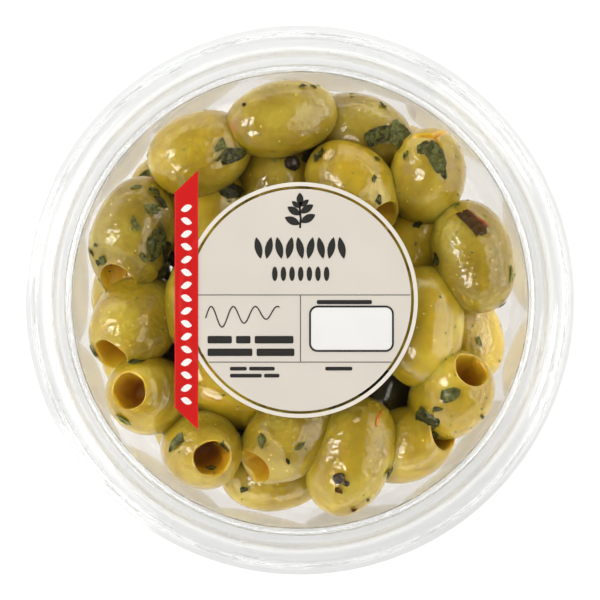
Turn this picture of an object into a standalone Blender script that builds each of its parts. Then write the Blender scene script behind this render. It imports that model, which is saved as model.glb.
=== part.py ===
"""Round clear tub of pitted green olives with chopped basil, shut by a clear press-on lid.

The tub stands on its foot ring at Z = 0, centred on the Z axis. A round label and a red
strip lie on the lid, with +Y towards the top of the label. Sizes are in millimetres and
are turned to metres by MM where a mesh is made.
"""

import math

import bmesh
import bpy
import numpy as np
from mathutils import Matrix, Vector
from mathutils.bvhtree import BVHTree

MM = 0.001

# Lid
LID_RADIUS = 59.0
LID_TOP = 42.0
LID_STEPS = 75
PANEL_TOP = 39.6
PANEL_UNDER = 39.0
DENT_COUNT = 15
DENT_FIRST = 6.2
DENT_HALF_WIDTH = 5.4
DENT_DEPTH = 0.75
DENT_HEIGHTS = (37.65, 37.95)
PAD_COUNT = 7
PAD_FIRST = 11.9
PAD_WIDTH = 18.0
PAD_RADII = (49.1, 50.0)
PAD_HEIGHTS = (38.9, 39.95)

# Tub
TUB_STEPS = 54
FLOOR_INSIDE = 1.5
WALL_FOOT = (46.0, 3.0)
WALL_HEAD = (49.15, 34.6)

# Label and strip
LABEL_RADIUS = 25.25
LABEL_HEIGHTS = (39.7, 39.95)
LABEL_STEPS = 48
STRIP_LEFT = -26.85
STRIP_RIGHT = -21.8
STRIP_SHORT_SIDE = 23.0
STRIP_LONG_SIDE = 27.8
STRIP_HEIGHTS = (40.05, 40.25)

# Olives
SIDES = 10
RINGS = 5
LOW_LEVEL = 22.0
LOW_SIDES = 8
LOW_RINGS = 4
FULLNESS = 0.9
PIT_RADIUS = 3.9
PIT_INNER_RADIUS = 3.2
PIT_DEPTH = 9.0
CLEARANCE = 0.4
WALL_CLEARANCE = 0.7
HEAP_TOP = 36.9
CORE_RADIUS = 31.0
CORE_HEIGHTS = (7.0, 21.0)

# One row for each olive that shows from above: name, centre X and Y, height of the centre,
# length, width, plan direction of its far end, the rise of that end above level, and the kind
# of end it has: a pit's mouth, a star cut, a stem scar or plain.
SHOWN_OLIVES = (
    ("top_centre", -4.5, 39.7, 28.5, 24.7, 16.9, 13, -12, "scar"),
    ("upper_left", -21.8, 32.4, 26.5, 23.0, 18.6, 20, -8, "plain"),
    ("left", -37.2, 13.6, 27.5, 27.5, 18.0, 251, 10, "pit"),
    ("left_lower", -35.2, -4.6, 24.0, 24.0, 18.6, 235, 38, "pit"),
    ("lower_left", -34.0, -20.6, 26.0, 23.0, 17.6, 165, 66, "pit"),
    ("bottom_left", -22.0, -33.2, 25.0, 23.0, 17.6, 324, 74, "pit"),
    ("bottom_under", -6.2, -38.8, 20.0, 23.0, 16.5, 182, 0, "plain"),
    ("bottom_centre", -1.8, -30.8, 27.5, 24.5, 17.4, 220, 12, "pit"),
    ("bottom_right", 11.8, -34.2, 28.0, 27.0, 18.0, 249, -6, "plain"),
    ("right_bottom_under", 23.6, -31.4, 22.0, 23.0, 16.6, 20, 35, "pit"),
    ("right_lower", 31.6, -21.6, 23.5, 23.5, 17.6, 54, 48, "pit"),
    ("right_top", 28.1, -6.6, 28.5, 26.5, 18.6, 85, -4, "plain"),
    ("right", 38.8, 10.1, 27.5, 25.0, 18.2, 105, -10, "plain"),
    ("right_under", 38.0, -8.4, 19.5, 23.5, 17.2, 118, 28, "star"),
    ("upper_right", 28.3, 26.9, 25.5, 23.5, 17.0, 80, 42, "star"),
    ("top_right", 13.6, 36.4, 21.5, 23.0, 16.6, 155, -4, "plain"),
    ("centre_right", 12.2, 25.2, 26.5, 24.0, 17.6, 315, 16, "pit"),
    ("centre_top_under", -5.0, 24.4, 20.5, 24.0, 17.0, 95, 0, "plain"),
    ("left_centre_under", -20.0, 17.6, 20.5, 24.0, 17.0, 62, 0, "plain"),
    ("right_centre_under", 24.7, 12.0, 20.5, 24.0, 17.0, 40, 0, "plain"),
    ("left_bottom_under", -16.2, -19.4, 20.5, 24.0, 17.0, 330, 0, "plain"),
    ("deep_right", 17.4, -19.6, 17.0, 24.0, 16.6, 60, 0, "plain"),
    ("label_upper", 3.5, 10.5, 25.0, 24.0, 17.2, 340, 0, "plain"),
    ("label_lower", -3.5, -8.0, 25.0, 24.0, 17.2, 25, 0, "plain"),
    ("label_left", -21.5, 0.5, 25.5, 24.5, 17.6, 80, 0, "plain"),
)

# How the olives settle: rounds, share of each overlap that is pushed apart, fall in each
# round, and the share of its drift in plan and in height that an olive that shows is drawn back.
SETTLING_ROUNDS = 200
PUSH = 0.2
SINKING = 0.03
HELD = 0.6
HELD_UP = 0.12

# Rings of olives on the floor of the tub: count, ring radius, first direction, turn of each
# olive from its ring's tangent.
FLOOR_RINGS = ((10, 36.5, 8.0, 24.0), (6, 19.0, 30.0, 38.0), (1, 0.5, 0.0, 0.0))
FLOOR_OLIVE = (23.5, 17.0)

# Leaf flakes that lie on the olives: X, Y, length, width, direction.
FLAKES = (
    (-35.4, 24.3, 3.2, 1.8, 20),
    (-31.0, 22.6, 3.6, 2.0, 300),
    (-35.2, 16.3, 3.4, 1.4, 75),
    (-30.7, 11.8, 6.6, 4.4, 70),
    (-33.7, 9.4, 3.6, 2.2, 170),
    (-43.0, 9.6, 3.4, 2.4, 60),
    (-14.8, 31.2, 5.6, 2.8, 15),
    (3.4, 31.6, 3.4, 1.6, 60),
    (17.2, 35.4, 5.0, 3.4, 20),
    (21.6, 36.2, 5.0, 2.6, 60),
    (29.4, 30.6, 5.6, 3.6, 100),
    (31.2, 26.0, 4.2, 1.8, 250),
    (37.4, 16.3, 7.4, 3.8, 325),
    (44.6, 5.4, 4.2, 2.4, 80),
    (32.6, -20.2, 3.6, 2.2, 20),
    (27.6, -25.6, 6.0, 4.0, 330),
    (28.6, -28.6, 3.6, 2.4, 10),
    (18.6, -36.4, 3.2, 1.8, 60),
    (-8.2, -30.1, 3.4, 2.6, 100),
    (0.0, -31.4, 3.0, 1.4, 40),
    (-25.8, -30.5, 3.8, 3.0, 60),
    (-16.6, -31.4, 3.4, 2.2, 120),
    (-35.6, -13.8, 4.0, 2.2, 10),
    (-38.4, -25.2, 4.4, 2.0, 340),
    (-43.6, -11.0, 3.6, 1.6, 300),
)
FLAKE_THICKNESS = 0.5
FLAKE_SUNK = 0.12
FLAKE_WAVE = 0.35

# Peppercorns: X, Y, diameter, and the share of it that its middle stands proud.
CORNS = ((-1.9, 30.5, 3.2), (8.6, -38.0, 2.6))
CORN_LIFT = 0.2


def clear_scene():
    for thing in list(bpy.data.objects):
        bpy.data.objects.remove(thing, do_unlink=True)


def material(name, colour, roughness, alpha=1.0):
    """A dielectric with its colour in linear values."""
    made = bpy.data.materials.new(name)
    made.use_nodes = True
    shader = made.node_tree.nodes["Principled BSDF"]
    shader.inputs["Base Color"].default_value = (*colour, 1.0)
    shader.inputs["Roughness"].default_value = roughness
    shader.inputs["Metallic"].default_value = 0.0
    shader.inputs["Alpha"].default_value = alpha
    return made


def add_object(name, bm, finish=None):
    """Turns the bmesh into an object of the scene, its normals facing out."""
    bmesh.ops.remove_doubles(bm, verts=bm.verts, dist=0.00001 * MM)
    bmesh.ops.recalc_face_normals(bm, faces=bm.faces)
    mesh = bpy.data.meshes.new(name)
    bm.to_mesh(mesh)
    bm.free()
    made = bpy.data.objects.new(name, mesh)
    bpy.context.scene.collection.objects.link(made)
    if finish:
        mesh.materials.append(finish)
    return made


def smooth(thing, angle):
    thing.data.shade_smooth()
    thing.data.set_sharp_from_angle(angle=math.radians(angle))


def spun(profile, steps, sweep=360.0, start=0.0):
    """A bmesh turned about Z from a profile of (radius, height) pairs."""
    bm = bmesh.new()
    turn = Matrix.Rotation(math.radians(start), 3, "Z")
    verts = [bm.verts.new(turn @ Vector((r, 0.0, z)) * MM) for r, z in profile]
    edges = [bm.edges.new(pair) for pair in zip(verts, verts[1:])]
    bmesh.ops.spin(
        bm,
        geom=verts + edges,
        axis=(0.0, 0.0, 1.0),
        cent=(0.0, 0.0, 0.0),
        angle=math.radians(sweep),
        steps=steps,
        use_merge=sweep >= 360.0,
    )
    bmesh.ops.remove_doubles(bm, verts=bm.verts, dist=0.001 * MM)
    return bm


def clockwise_from_top(degrees):
    """Plan angle, counted from +X, of a direction counted clockwise from +Y."""
    return 90.0 - degrees


def unite(base, others):
    """Joins the other objects to the base by one union and removes them."""
    group = bpy.data.collections.new(base.name + "_joined")
    bpy.context.scene.collection.children.link(group)
    for other in others:
        bpy.context.scene.collection.objects.unlink(other)
        group.objects.link(other)
    join = base.modifiers.new("Union", "BOOLEAN")
    join.operation = "UNION"
    join.solver = "EXACT"
    join.operand_type = "COLLECTION"
    join.collection = group
    bpy.context.view_layer.update()
    graph = bpy.context.evaluated_depsgraph_get()
    mesh = bpy.data.meshes.new_from_object(base.evaluated_get(graph))
    base.modifiers.clear()
    base.data = mesh
    for other in others:
        bpy.data.objects.remove(other, do_unlink=True)
    bpy.data.collections.remove(group)


def keep_outer_shell(thing):
    """Drops sealed hollows and loose scraps, and keeps the largest shell."""
    bm = bmesh.new()
    bm.from_mesh(thing.data)
    bmesh.ops.triangulate(bm, faces=bm.faces)
    bm.verts.ensure_lookup_table()
    seen = set()
    shells = []
    for first in bm.verts:
        if first in seen:
            continue
        shell = {first}
        waiting = [first]
        while waiting:
            vert = waiting.pop()
            for edge in vert.link_edges:
                other = edge.other_vert(vert)
                if other not in shell:
                    shell.add(other)
                    waiting.append(other)
        seen |= shell
        shells.append(shell)
    largest = max(shells, key=len)
    loose = [vert for shell in shells if shell is not largest for vert in shell]
    bmesh.ops.delete(bm, geom=loose, context="VERTS")
    bm.to_mesh(thing.data)
    bm.free()


def make_tub():
    """Thin-walled tub: foot ring, raised floor, sloping wall, step, collar and rolled rim."""
    floor_under = 0.9
    inside = [
        (0.0, FLOOR_INSIDE),
        (40.2, FLOOR_INSIDE),
        (41.4, 0.7),
        (44.4, 0.7),
        WALL_FOOT,
        WALL_HEAD,
        (50.0, 36.2),
        (52.5, 36.3),
        (53.65, 39.7),
        (54.6, 40.6),
    ]
    outside = [
        (55.9, 40.6),
        (56.6, 39.8),
        (56.6, 38.6),
        (56.0, 38.6),
        (55.9, 39.5),
        (54.9, 39.9),
        (54.2, 39.2),
        (53.05, 35.7),
        (50.35, 35.6),
        (WALL_HEAD[0] + 0.6, WALL_HEAD[1]),
        (WALL_FOOT[0] + 0.6, WALL_FOOT[1] - 0.3),
        (44.9, 0.0),
        (41.2, 0.0),
        (39.9, floor_under),
        (0.0, floor_under),
    ]
    finish = material("clear_plastic_tub", (0.86, 0.87, 0.86), 0.12, 0.35)
    tub = add_object("tub", spun(inside + outside, TUB_STEPS), finish)
    smooth(tub, 30)
    return tub


def press_dents(bm):
    """Presses the skirt in at each dent, so that it catches under the tub's rim."""
    low, high = DENT_HEIGHTS
    for vert in bm.verts:
        x, y, z = vert.co / MM
        radius = math.hypot(x, y)
        if radius < 56.0 or not low - 0.01 < z < high + 0.01:
            continue
        angle = 90.0 - math.degrees(math.atan2(y, x)) - DENT_FIRST
        period = 360.0 / DENT_COUNT
        off = abs((angle + period / 2) % period - period / 2) / DENT_HALF_WIDTH
        inward = DENT_DEPTH * max(0.0, 1.0 - off * off)
        vert.co.xy *= (radius - inward) / radius


def make_lid():
    """Press-on lid: flat panel, gutter, rounded bead over the rim, skirt and thin flange."""
    low, high = DENT_HEIGHTS
    top = [
        (0.0, PANEL_TOP),
        (49.3, PANEL_TOP),
        (50.2, 38.9),
        (50.6, 37.6),
        (51.9, 37.5),
        (52.75, 40.2),
        (54.4, 41.5),
        (55.5, LID_TOP),
        (56.5, 41.85),
        (57.3, 41.0),
        (57.5, 38.8),
        (57.6, high),
        (57.85, 37.3),
        (LID_RADIUS, 37.1),
    ]
    under = [
        (LID_RADIUS, 36.6),
        (57.35, 36.8),
        (57.05, low),
        (56.95, 38.7),
        (56.7, 40.8),
        (56.0, 41.3),
        (54.7, 40.95),
        (53.35, 39.9),
        (52.3, 36.9),
        (50.15, 36.9),
        (49.6, 38.5),
        (49.1, PANEL_UNDER),
        (0.0, PANEL_UNDER),
    ]
    start = clockwise_from_top(DENT_FIRST)
    bm = spun(top + under, LID_STEPS, start=start)
    press_dents(bm)
    finish = material("clear_plastic_lid", (0.88, 0.89, 0.89), 0.08, 0.3)
    lid = add_object("lid", bm, finish)
    pads = [make_pad(index) for index in range(PAD_COUNT)]
    unite(lid, pads)
    smooth(lid, 30)
    return lid


def make_pad(index):
    """One raised pad near the panel's edge, a short curved block."""
    inner, outer = PAD_RADII
    low, high = PAD_HEIGHTS
    middle = clockwise_from_top(PAD_FIRST + index * 360.0 / PAD_COUNT)
    outline = ((inner, low), (outer, low), (outer, high), (inner, high))
    turn = Matrix.Rotation(math.radians(middle - PAD_WIDTH / 2), 3, "Z")
    bm = bmesh.new()
    corners = [bm.verts.new(turn @ Vector((r, 0.0, z)) * MM) for r, z in outline]
    face = bm.faces.new(corners)
    bmesh.ops.spin(
        bm,
        geom=[face],
        axis=(0.0, 0.0, 1.0),
        cent=(0.0, 0.0, 0.0),
        angle=math.radians(PAD_WIDTH),
        steps=4,
    )
    open_edges = [edge for edge in bm.edges if edge.is_boundary]
    bmesh.ops.holes_fill(bm, edges=open_edges)
    return add_object(f"pad_{index}", bm)


def extruded(name, outline, heights, finish):
    """A flat plate between two heights over a plan outline."""
    low, high = heights
    bm = bmesh.new()
    verts = [bm.verts.new((x * MM, y * MM, low * MM)) for x, y in outline]
    face = bm.faces.new(verts)
    grown = bmesh.ops.extrude_face_region(bm, geom=[face])
    risen = [item for item in grown["geom"] if isinstance(item, bmesh.types.BMVert)]
    bmesh.ops.translate(bm, verts=risen, vec=(0.0, 0.0, (high - low) * MM))
    return add_object(name, bm, finish)


def make_label():
    angles = [math.tau * step / LABEL_STEPS for step in range(LABEL_STEPS)]
    outline = [(LABEL_RADIUS * math.cos(a), LABEL_RADIUS * math.sin(a)) for a in angles]
    finish = material("cream_film_label", (0.72, 0.68, 0.6), 0.4)
    return extruded("label", outline, LABEL_HEIGHTS, finish)


def make_strip():
    """Red strip across the label's left edge, its ends cut at a slant."""
    outline = (
        (STRIP_LEFT, -STRIP_SHORT_SIDE),
        (STRIP_RIGHT, -STRIP_LONG_SIDE),
        (STRIP_RIGHT, STRIP_LONG_SIDE),
        (STRIP_LEFT, STRIP_SHORT_SIDE),
    )
    finish = material("red_film_strip", (0.75, 0.02, 0.01), 0.35)
    return extruded("label_strip", outline, STRIP_HEIGHTS, finish)


def olive_rows():
    """A row for every olive: those that show, then those on the floor of the tub."""
    rows = list(SHOWN_OLIVES)
    length, width = FLOOR_OLIVE
    for ring, (count, radius, first, turn) in enumerate(FLOOR_RINGS):
        for step in range(count):
            angle = first + step * 360.0 / count
            x = radius * math.cos(math.radians(angle))
            y = radius * math.sin(math.radians(angle))
            heading = angle + 90.0 + turn * (-1) ** step
            name = f"floor_{ring}_{step}"
            rows.append((name, x, y, 10.5, length, width, heading, 0, "plain"))
    return rows


def axis_of(heading, rise):
    across = math.cos(math.radians(rise))
    return (
        across * math.cos(math.radians(heading)),
        across * math.sin(math.radians(heading)),
        math.sin(math.radians(rise)),
    )


def wall_radius(height):
    """Inner radius of the tub's wall at a height."""
    (r0, z0), (r1, z1) = WALL_FOOT, WALL_HEAD
    return r0 + (r1 - r0) * (np.clip(height, z0, z1) - z0) / (z1 - z0)


def settle(rows):
    """Moves the olives apart until they only touch, inside the tub and under the lid.

    Each olive is taken as three balls on its axis. Olives that show keep close to their
    places, and the others move freely.
    """
    centres = np.array([row[1:4] for row in rows], float)
    homes = centres.copy()
    axes = np.array([axis_of(row[6], row[7]) for row in rows])
    lengths = np.array([row[4] for row in rows])
    widths = np.array([row[5] for row in rows])
    shown = np.arange(len(rows)) < len(SHOWN_OLIVES)
    balls = np.stack([0.74 * widths / 2, widths / 2, 0.74 * widths / 2], axis=1)
    reach = lengths / 2 - balls[:, 0]
    offsets = np.stack([-reach, 0 * reach, reach], axis=1)
    own = np.arange(len(rows))
    for _ in range(SETTLING_ROUNDS):
        places = centres[:, None, :] + axes[:, None, :] * offsets[:, :, None]
        gap = places[:, :, None, None, :] - places[None, None, :, :, :]
        distance = np.linalg.norm(gap, axis=4) + 1e-6
        overlap = balls[:, :, None, None] + balls[None, None, :, :] - distance
        overlap = np.clip(overlap, 0.0, None)
        overlap[own, :, own, :] = 0.0
        centres += PUSH * (gap / distance[..., None] * overlap[..., None]).sum(axis=(1, 2, 3))
        centres[:, 2] -= SINKING
        drift = (homes - centres) * (HELD, HELD, HELD_UP)
        centres += drift * np.where(shown, 1.0, 0.0)[:, None]
        places = centres[:, None, :] + axes[:, None, :] * offsets[:, :, None]
        spread = np.linalg.norm(places[:, :, :2], axis=2)
        beyond = spread - (wall_radius(places[:, :, 2]) - WALL_CLEARANCE - balls)
        worst = beyond.argmax(axis=1)
        outward = places[own, worst, :2] / (spread[own, worst, None] + 1e-6)
        centres[:, :2] -= outward * np.clip(beyond[own, worst, None], 0.0, None)
        lowest = (places[:, :, 2] - balls).min(axis=1) - FLOOR_INSIDE - CLEARANCE
        highest = (places[:, :, 2] + balls).max(axis=1) - HEAP_TOP
        centres[:, 2] -= np.clip(lowest, None, 0.0) + np.clip(highest, 0.0, None)
    return centres, axes, lengths, widths


def olive_profile(length, width, pitted, rings):
    """Half outline along the olive's axis, as (along, radius), stem end first."""
    end = math.pi
    if pitted:
        end = math.pi - math.asin((2 * PIT_RADIUS / width) ** (1 / FULLNESS))
    outline = []
    for ring in range(rings + 1):
        t = end * ring / rings
        radius = width / 2 * abs(math.sin(t)) ** FULLNESS
        outline.append((-length / 2 * math.cos(t), radius if 0 < t < math.pi else 0.0))
    if pitted:
        mouth = outline[-1][0]
        outline.append((mouth - 1.2, PIT_INNER_RADIUS))
        outline.append((mouth - PIT_DEPTH, PIT_INNER_RADIUS - 0.6))
        outline.append((mouth - PIT_DEPTH - 0.8, 0.0))
    return outline


def make_olive(name, centre, axis, length, width, pitted):
    """One olive; those low in the tub have fewer faces."""
    low = centre[2] < LOW_LEVEL and not pitted
    sides = LOW_SIDES if low else SIDES
    outline = olive_profile(length, width, pitted, LOW_RINGS if low else RINGS)
    bm = spun([(radius, along) for along, radius in outline], sides)
    turn = Vector((0.0, 0.0, 1.0)).rotation_difference(Vector(axis)).to_matrix().to_4x4()
    place = Matrix.Translation(Vector(centre) * MM) @ turn
    bmesh.ops.transform(bm, matrix=place, verts=bm.verts)
    return add_object(name, bm)


def make_core():
    """Filling between the olives, out of sight behind them."""
    low, high = CORE_HEIGHTS
    profile = ((0.0, high), (CORE_RADIUS - 8, high), (CORE_RADIUS, (low + high) / 2))
    profile += ((CORE_RADIUS - 6, low), (0.0, low))
    return add_object("olives", spun(profile, 18))


def surface_under(tree, x, y):
    """Point and normal of the heap's surface straight below a plan position."""
    start = Vector((x * MM, y * MM, LID_TOP * MM))
    point, normal, _, _ = tree.ray_cast(start, Vector((0.0, 0.0, -1.0)))
    if point is None:
        raise ValueError(f"no olive under {x}, {y}")
    return point, normal


def make_flake(name, tree, x, y, length, width, direction):
    """A thin wavy piece of leaf, laid on the olive below it."""
    point, normal = surface_under(tree, x, y)
    up = normal.normalized()
    heading = Vector((*axis_of(direction, 0)[:2], 0.0))
    along = (heading - up * heading.dot(up)).normalized()
    across = up.cross(along)
    rim = [
        (-0.5, 0.0, 0.0),
        (-0.2, -0.45, 0.6),
        (0.25, -0.4, -0.2),
        (0.5, 0.05, 0.7),
        (0.2, 0.45, 0.0),
        (-0.25, 0.42, 0.9),
    ]
    bm = bmesh.new()
    faces = []
    for side in (1.0, -1.0):
        lift = (FLAKE_THICKNESS / 2 - FLAKE_SUNK + side * FLAKE_THICKNESS / 2) * MM
        verts = []
        for a, b, wave in rim + [(0.0, 0.0, 0.4)]:
            flat = along * (a * length * MM) + across * (b * width * MM)
            verts.append(bm.verts.new(point + flat + up * (lift + wave * FLAKE_WAVE * MM)))
        faces.append(verts)
    upper, lower = faces
    count = len(rim)
    for index in range(count):
        after = (index + 1) % count
        bm.faces.new((upper[index], upper[after], upper[count]))
        bm.faces.new((lower[after], lower[index], lower[count]))
        bm.faces.new((upper[index], lower[index], lower[after]))
        bm.faces.new((upper[index], lower[after], upper[after]))
    return add_object(name, bm)


def make_corn(name, tree, x, y, size):
    point, normal = surface_under(tree, x, y)
    bm = bmesh.new()
    bmesh.ops.create_icosphere(bm, subdivisions=1, radius=size / 2 * MM)
    bmesh.ops.translate(bm, verts=bm.verts, vec=point + normal * (CORN_LIFT * size * MM))
    return add_object(name, bm)


def make_olives():
    """The heap: olives that show, fused to a core, with leaf flakes and corns on top."""
    rows = olive_rows()
    pieces = []
    for row, centre, axis, length, width in zip(rows, *settle(rows)):
        pieces.append(make_olive(row[0], centre, axis, length, width, row[8] == "pit"))
    heap = make_core()
    unite(heap, pieces)
    keep_outer_shell(heap)
    tree = BVHTree.FromPolygons(
        [vert.co.copy() for vert in heap.data.vertices],
        [tuple(face.vertices) for face in heap.data.polygons],
    )
    bits = [make_flake(f"flake_{i}", tree, *row) for i, row in enumerate(FLAKES)]
    bits += [make_corn(f"corn_{i}", tree, *row) for i, row in enumerate(CORNS)]
    unite(heap, bits)
    keep_outer_shell(heap)
    heap.data.materials.clear()
    heap.data.materials.append(material("green_olive_flesh", (0.42, 0.33, 0.04), 0.3))
    smooth(heap, 50)
    return heap


def main():
    clear_scene()
    make_tub()
    make_lid()
    make_label()
    make_strip()
    make_olives()


main()
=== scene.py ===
"""Looks of a shut clear tub of pitted green olives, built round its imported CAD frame.

The tub stands on Z = 0, centred on the Z axis, with +Y towards the top of its label. Sizes
are written in millimetres and turned to metres by MM where a mesh or a texture is made.
"""

import math
import random

import bmesh
import bpy
import numpy as np
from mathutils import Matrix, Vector, noise
from mathutils.bvhtree import BVHTree


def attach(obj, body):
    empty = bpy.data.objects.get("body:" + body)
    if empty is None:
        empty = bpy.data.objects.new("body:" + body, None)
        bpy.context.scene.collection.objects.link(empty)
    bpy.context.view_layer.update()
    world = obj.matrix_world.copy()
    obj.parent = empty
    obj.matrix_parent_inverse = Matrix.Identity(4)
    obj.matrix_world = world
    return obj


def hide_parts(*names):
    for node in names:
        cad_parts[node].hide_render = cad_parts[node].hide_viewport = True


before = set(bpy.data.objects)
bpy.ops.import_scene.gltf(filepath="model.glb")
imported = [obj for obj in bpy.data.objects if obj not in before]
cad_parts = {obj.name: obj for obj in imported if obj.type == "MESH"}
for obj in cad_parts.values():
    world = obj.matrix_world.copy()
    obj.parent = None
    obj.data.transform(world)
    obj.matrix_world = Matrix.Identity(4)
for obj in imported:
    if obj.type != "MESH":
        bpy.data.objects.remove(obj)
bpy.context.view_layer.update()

bl_info = {
    "name": "Olive tub looks",
    "version": (1, 0, 0),
    "blender": (4, 5, 0),
    "location": "3D View > Sidebar > Olive tub",
    "description": "Makes the clear tub, its lid and label, the olives and the herbs on them",
    "category": "Object",
}

MM = 0.001

# Photograph: it is square, looks straight down, and a pixel is this many millimetres
# at the height of the lid.
PIXELS = 600
MM_PER_PIXEL = 0.21474
LID_LEVEL = 37.0
CAMERA_HEIGHT = 1000.0
SENSOR = 36.0

# Tub and lid, as (radius, height) down the middle of one side
FLOOR_INSIDE = 1.5
WALL_FOOT = (46.0, 3.0)
WALL_HEAD = (49.15, 34.6)
TUB_INSIDE = ((0.0, 1.5), (40.2, 1.5), (41.4, 0.7), (44.4, 0.7), WALL_FOOT, WALL_HEAD)
TUB_RIM = ((50.0, 36.2), (52.5, 36.3), (53.65, 39.7), (54.6, 40.6), (55.9, 40.6), (56.6, 39.8))
TUB_COLLAR = ((56.6, 38.6), (56.0, 38.6), (55.9, 39.5), (54.9, 39.9), (54.2, 39.2))
TUB_OUTSIDE = ((53.05, 35.7), (50.35, 35.6), (49.75, 34.6), (46.6, 2.7), (44.9, 0.0))
TUB_UNDER = ((41.2, 0.0), (39.9, 0.9), (0.0, 0.9))
LID_PANEL = ((0.0, 39.6), (48.9, 39.6))
LID_GUTTER = ((50.2, 38.9), (50.6, 37.6), (51.9, 37.5), (52.75, 40.2), (54.4, 41.5))
LID_BEAD = ((55.5, 42.0), (56.5, 41.85), (57.3, 41.0), (57.5, 38.8), (57.6, 37.95))
LID_FLANGE = ((57.85, 37.3), (59.0, 37.1), (59.0, 36.6), (57.35, 36.8), (57.05, 37.65))
LID_INSIDE = ((56.95, 38.7), (56.7, 40.8), (56.0, 41.3), (54.7, 40.95), (53.35, 39.9))
LID_UNDER = ((52.3, 36.9), (50.15, 36.9), (49.6, 38.5), (49.1, 39.0), (0.0, 39.0))
PANEL_EDGE = ((48.9, 39.6), (49.3, 39.6), (50.2, 38.9))
PANEL_EDGE_STEPS = 13
# Where the first dent of the skirt and the first pad of the panel lie, and half their width
DENT_FIRST = math.radians(6.2)
DENT_HALF_WIDTH = math.radians(5.4)
PAD_FIRST = math.radians(11.9)
PAD_HALF_WIDTH = math.radians(9.0)

# Label and strip
LABEL_RADIUS = 25.25
LABEL_BOTTOM = 39.64
DISC_RADIUS = 23.8
RING_INNER = 24.4
LABEL_BOX = (2.15, -10.9, 19.9, -1.4)
STRIP_LEFT = -26.85
STRIP_RIGHT = -21.8
STRIP_SHORT_SIDE = 23.0
STRIP_LONG_SIDE = 27.8

# Olives, as the CAD settles them
FULLNESS = 0.9
PIT_RADIUS = 3.9
PIT_INNER_RADIUS = 3.2
PIT_DEPTH = 9.0
PIT_LIP = 0.45
CLEARANCE = 0.4
WALL_CLEARANCE = 0.7
HEAP_TOP = 36.9
CORE_RADIUS = 31.0
CORE_HEIGHTS = (7.0, 21.0)
END_BALL = 0.74
SETTLING_ROUNDS = 200
PUSH = 0.2
SINKING = 0.03
HELD = 0.6
HELD_UP = 0.12
FLOOR_RINGS = ((10, 36.5, 8.0, 24.0), (6, 19.0, 30.0, 38.0), (1, 0.5, 0.0, 0.0))
FLOOR_OLIVE = (23.5, 17.0)
FLOOR_LEVEL = 10.5

# One row for each olive that shows from above: name, centre X and Y, height of the centre,
# length, width, plan direction of its far end, the rise of that end above level, and the kind
# of end it has.
SHOWN_OLIVES = (
    ("top_centre", -4.5, 39.7, 28.5, 24.7, 16.9, 13, -12, "scar"),
    ("upper_left", -21.8, 32.4, 26.5, 23.0, 18.6, 20, -8, "plain"),
    ("left", -37.2, 13.6, 27.5, 27.5, 18.0, 251, 10, "pit"),
    ("left_lower", -35.2, -4.6, 24.0, 24.0, 18.6, 235, 38, "pit"),
    ("lower_left", -34.0, -20.6, 26.0, 23.0, 17.6, 165, 66, "pit"),
    ("bottom_left", -22.0, -33.2, 25.0, 23.0, 17.6, 324, 74, "pit"),
    ("bottom_under", -6.2, -38.8, 20.0, 23.0, 16.5, 182, 0, "plain"),
    ("bottom_centre", -1.8, -30.8, 27.5, 24.5, 17.4, 220, 12, "pit"),
    ("bottom_right", 11.8, -34.2, 28.0, 27.0, 18.0, 249, -6, "plain"),
    ("right_bottom_under", 23.6, -31.4, 22.0, 23.0, 16.6, 20, 35, "pit"),
    ("right_lower", 31.6, -21.6, 23.5, 23.5, 17.6, 54, 48, "pit"),
    ("right_top", 28.1, -6.6, 28.5, 26.5, 18.6, 85, -4, "plain"),
    ("right", 38.8, 10.1, 27.5, 25.0, 18.2, 105, -10, "plain"),
    ("right_under", 38.0, -8.4, 19.5, 23.5, 17.2, 118, 28, "star"),
    ("upper_right", 28.3, 26.9, 25.5, 23.5, 17.0, 80, 42, "star"),
    ("top_right", 13.6, 36.4, 21.5, 23.0, 16.6, 155, -4, "plain"),
    ("centre_right", 12.2, 25.2, 26.5, 24.0, 17.6, 315, 16, "pit"),
    ("centre_top_under", -5.0, 24.4, 20.5, 24.0, 17.0, 95, 0, "plain"),
    ("left_centre_under", -20.0, 17.6, 20.5, 24.0, 17.0, 62, 0, "plain"),
    ("right_centre_under", 24.7, 12.0, 20.5, 24.0, 17.0, 40, 0, "plain"),
    ("left_bottom_under", -16.2, -19.4, 20.5, 24.0, 17.0, 330, 0, "plain"),
    ("deep_right", 17.4, -19.6, 17.0, 24.0, 16.6, 60, 0, "plain"),
    ("label_upper", 3.5, 10.5, 25.0, 24.0, 17.2, 340, 0, "plain"),
    ("label_lower", -3.5, -8.0, 25.0, 24.0, 17.2, 25, 0, "plain"),
    ("label_left", -21.5, 0.5, 25.5, 24.5, 17.6, 80, 0, "plain"),
)
# Those with a broad cracked scar at the stem, and how far towards the sky it sits off the end
SCARRED = ("top_centre", "left")
SCAR_SHIFT = 2.0
SCAR_RADIUS = 2.3
# How uneven the oily skin is, from smooth at 0 to pebbled at 1, where the photo shows it
SKIN = {
    "right_top": 0.08,
    "right": 0.75,
    "left": 0.6,
    "left_lower": 0.7,
    "top_centre": 0.45,
    "deep_right": 0.1,
}
# How pale the flesh is against most of the olives, where the photo shows a paler or darker one: partly
# each olive's own tone, partly painted light and painted shade, as in the high values that brighten olives
# lying low among others and the near-black painted shade of deep_right
PALENESS_AND_PAINTED_LIGHT = {
    "top_centre": 0.9,
    "upper_left": 1.08,
    "left": 0.74,
    "left_lower": 1.02,
    "lower_left": 1.22,
    "bottom_left": 1.1,
    "bottom_centre": 0.9,
    "right_bottom_under": 1.15,
    "right_top": 1.25,
    "right": 0.84,
    "right_under": 1.55,
    "top_right": 0.74,
    "centre_right": 1.28,
    "centre_top_under": 1.0,
    "left_centre_under": 1.5,
    "right_centre_under": 1.6,
    "deep_right": 0.12,
    "left_bottom_under": 2.2,
    "bottom_under": 1.2,
    "right_lower": 1.25,
}
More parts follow.
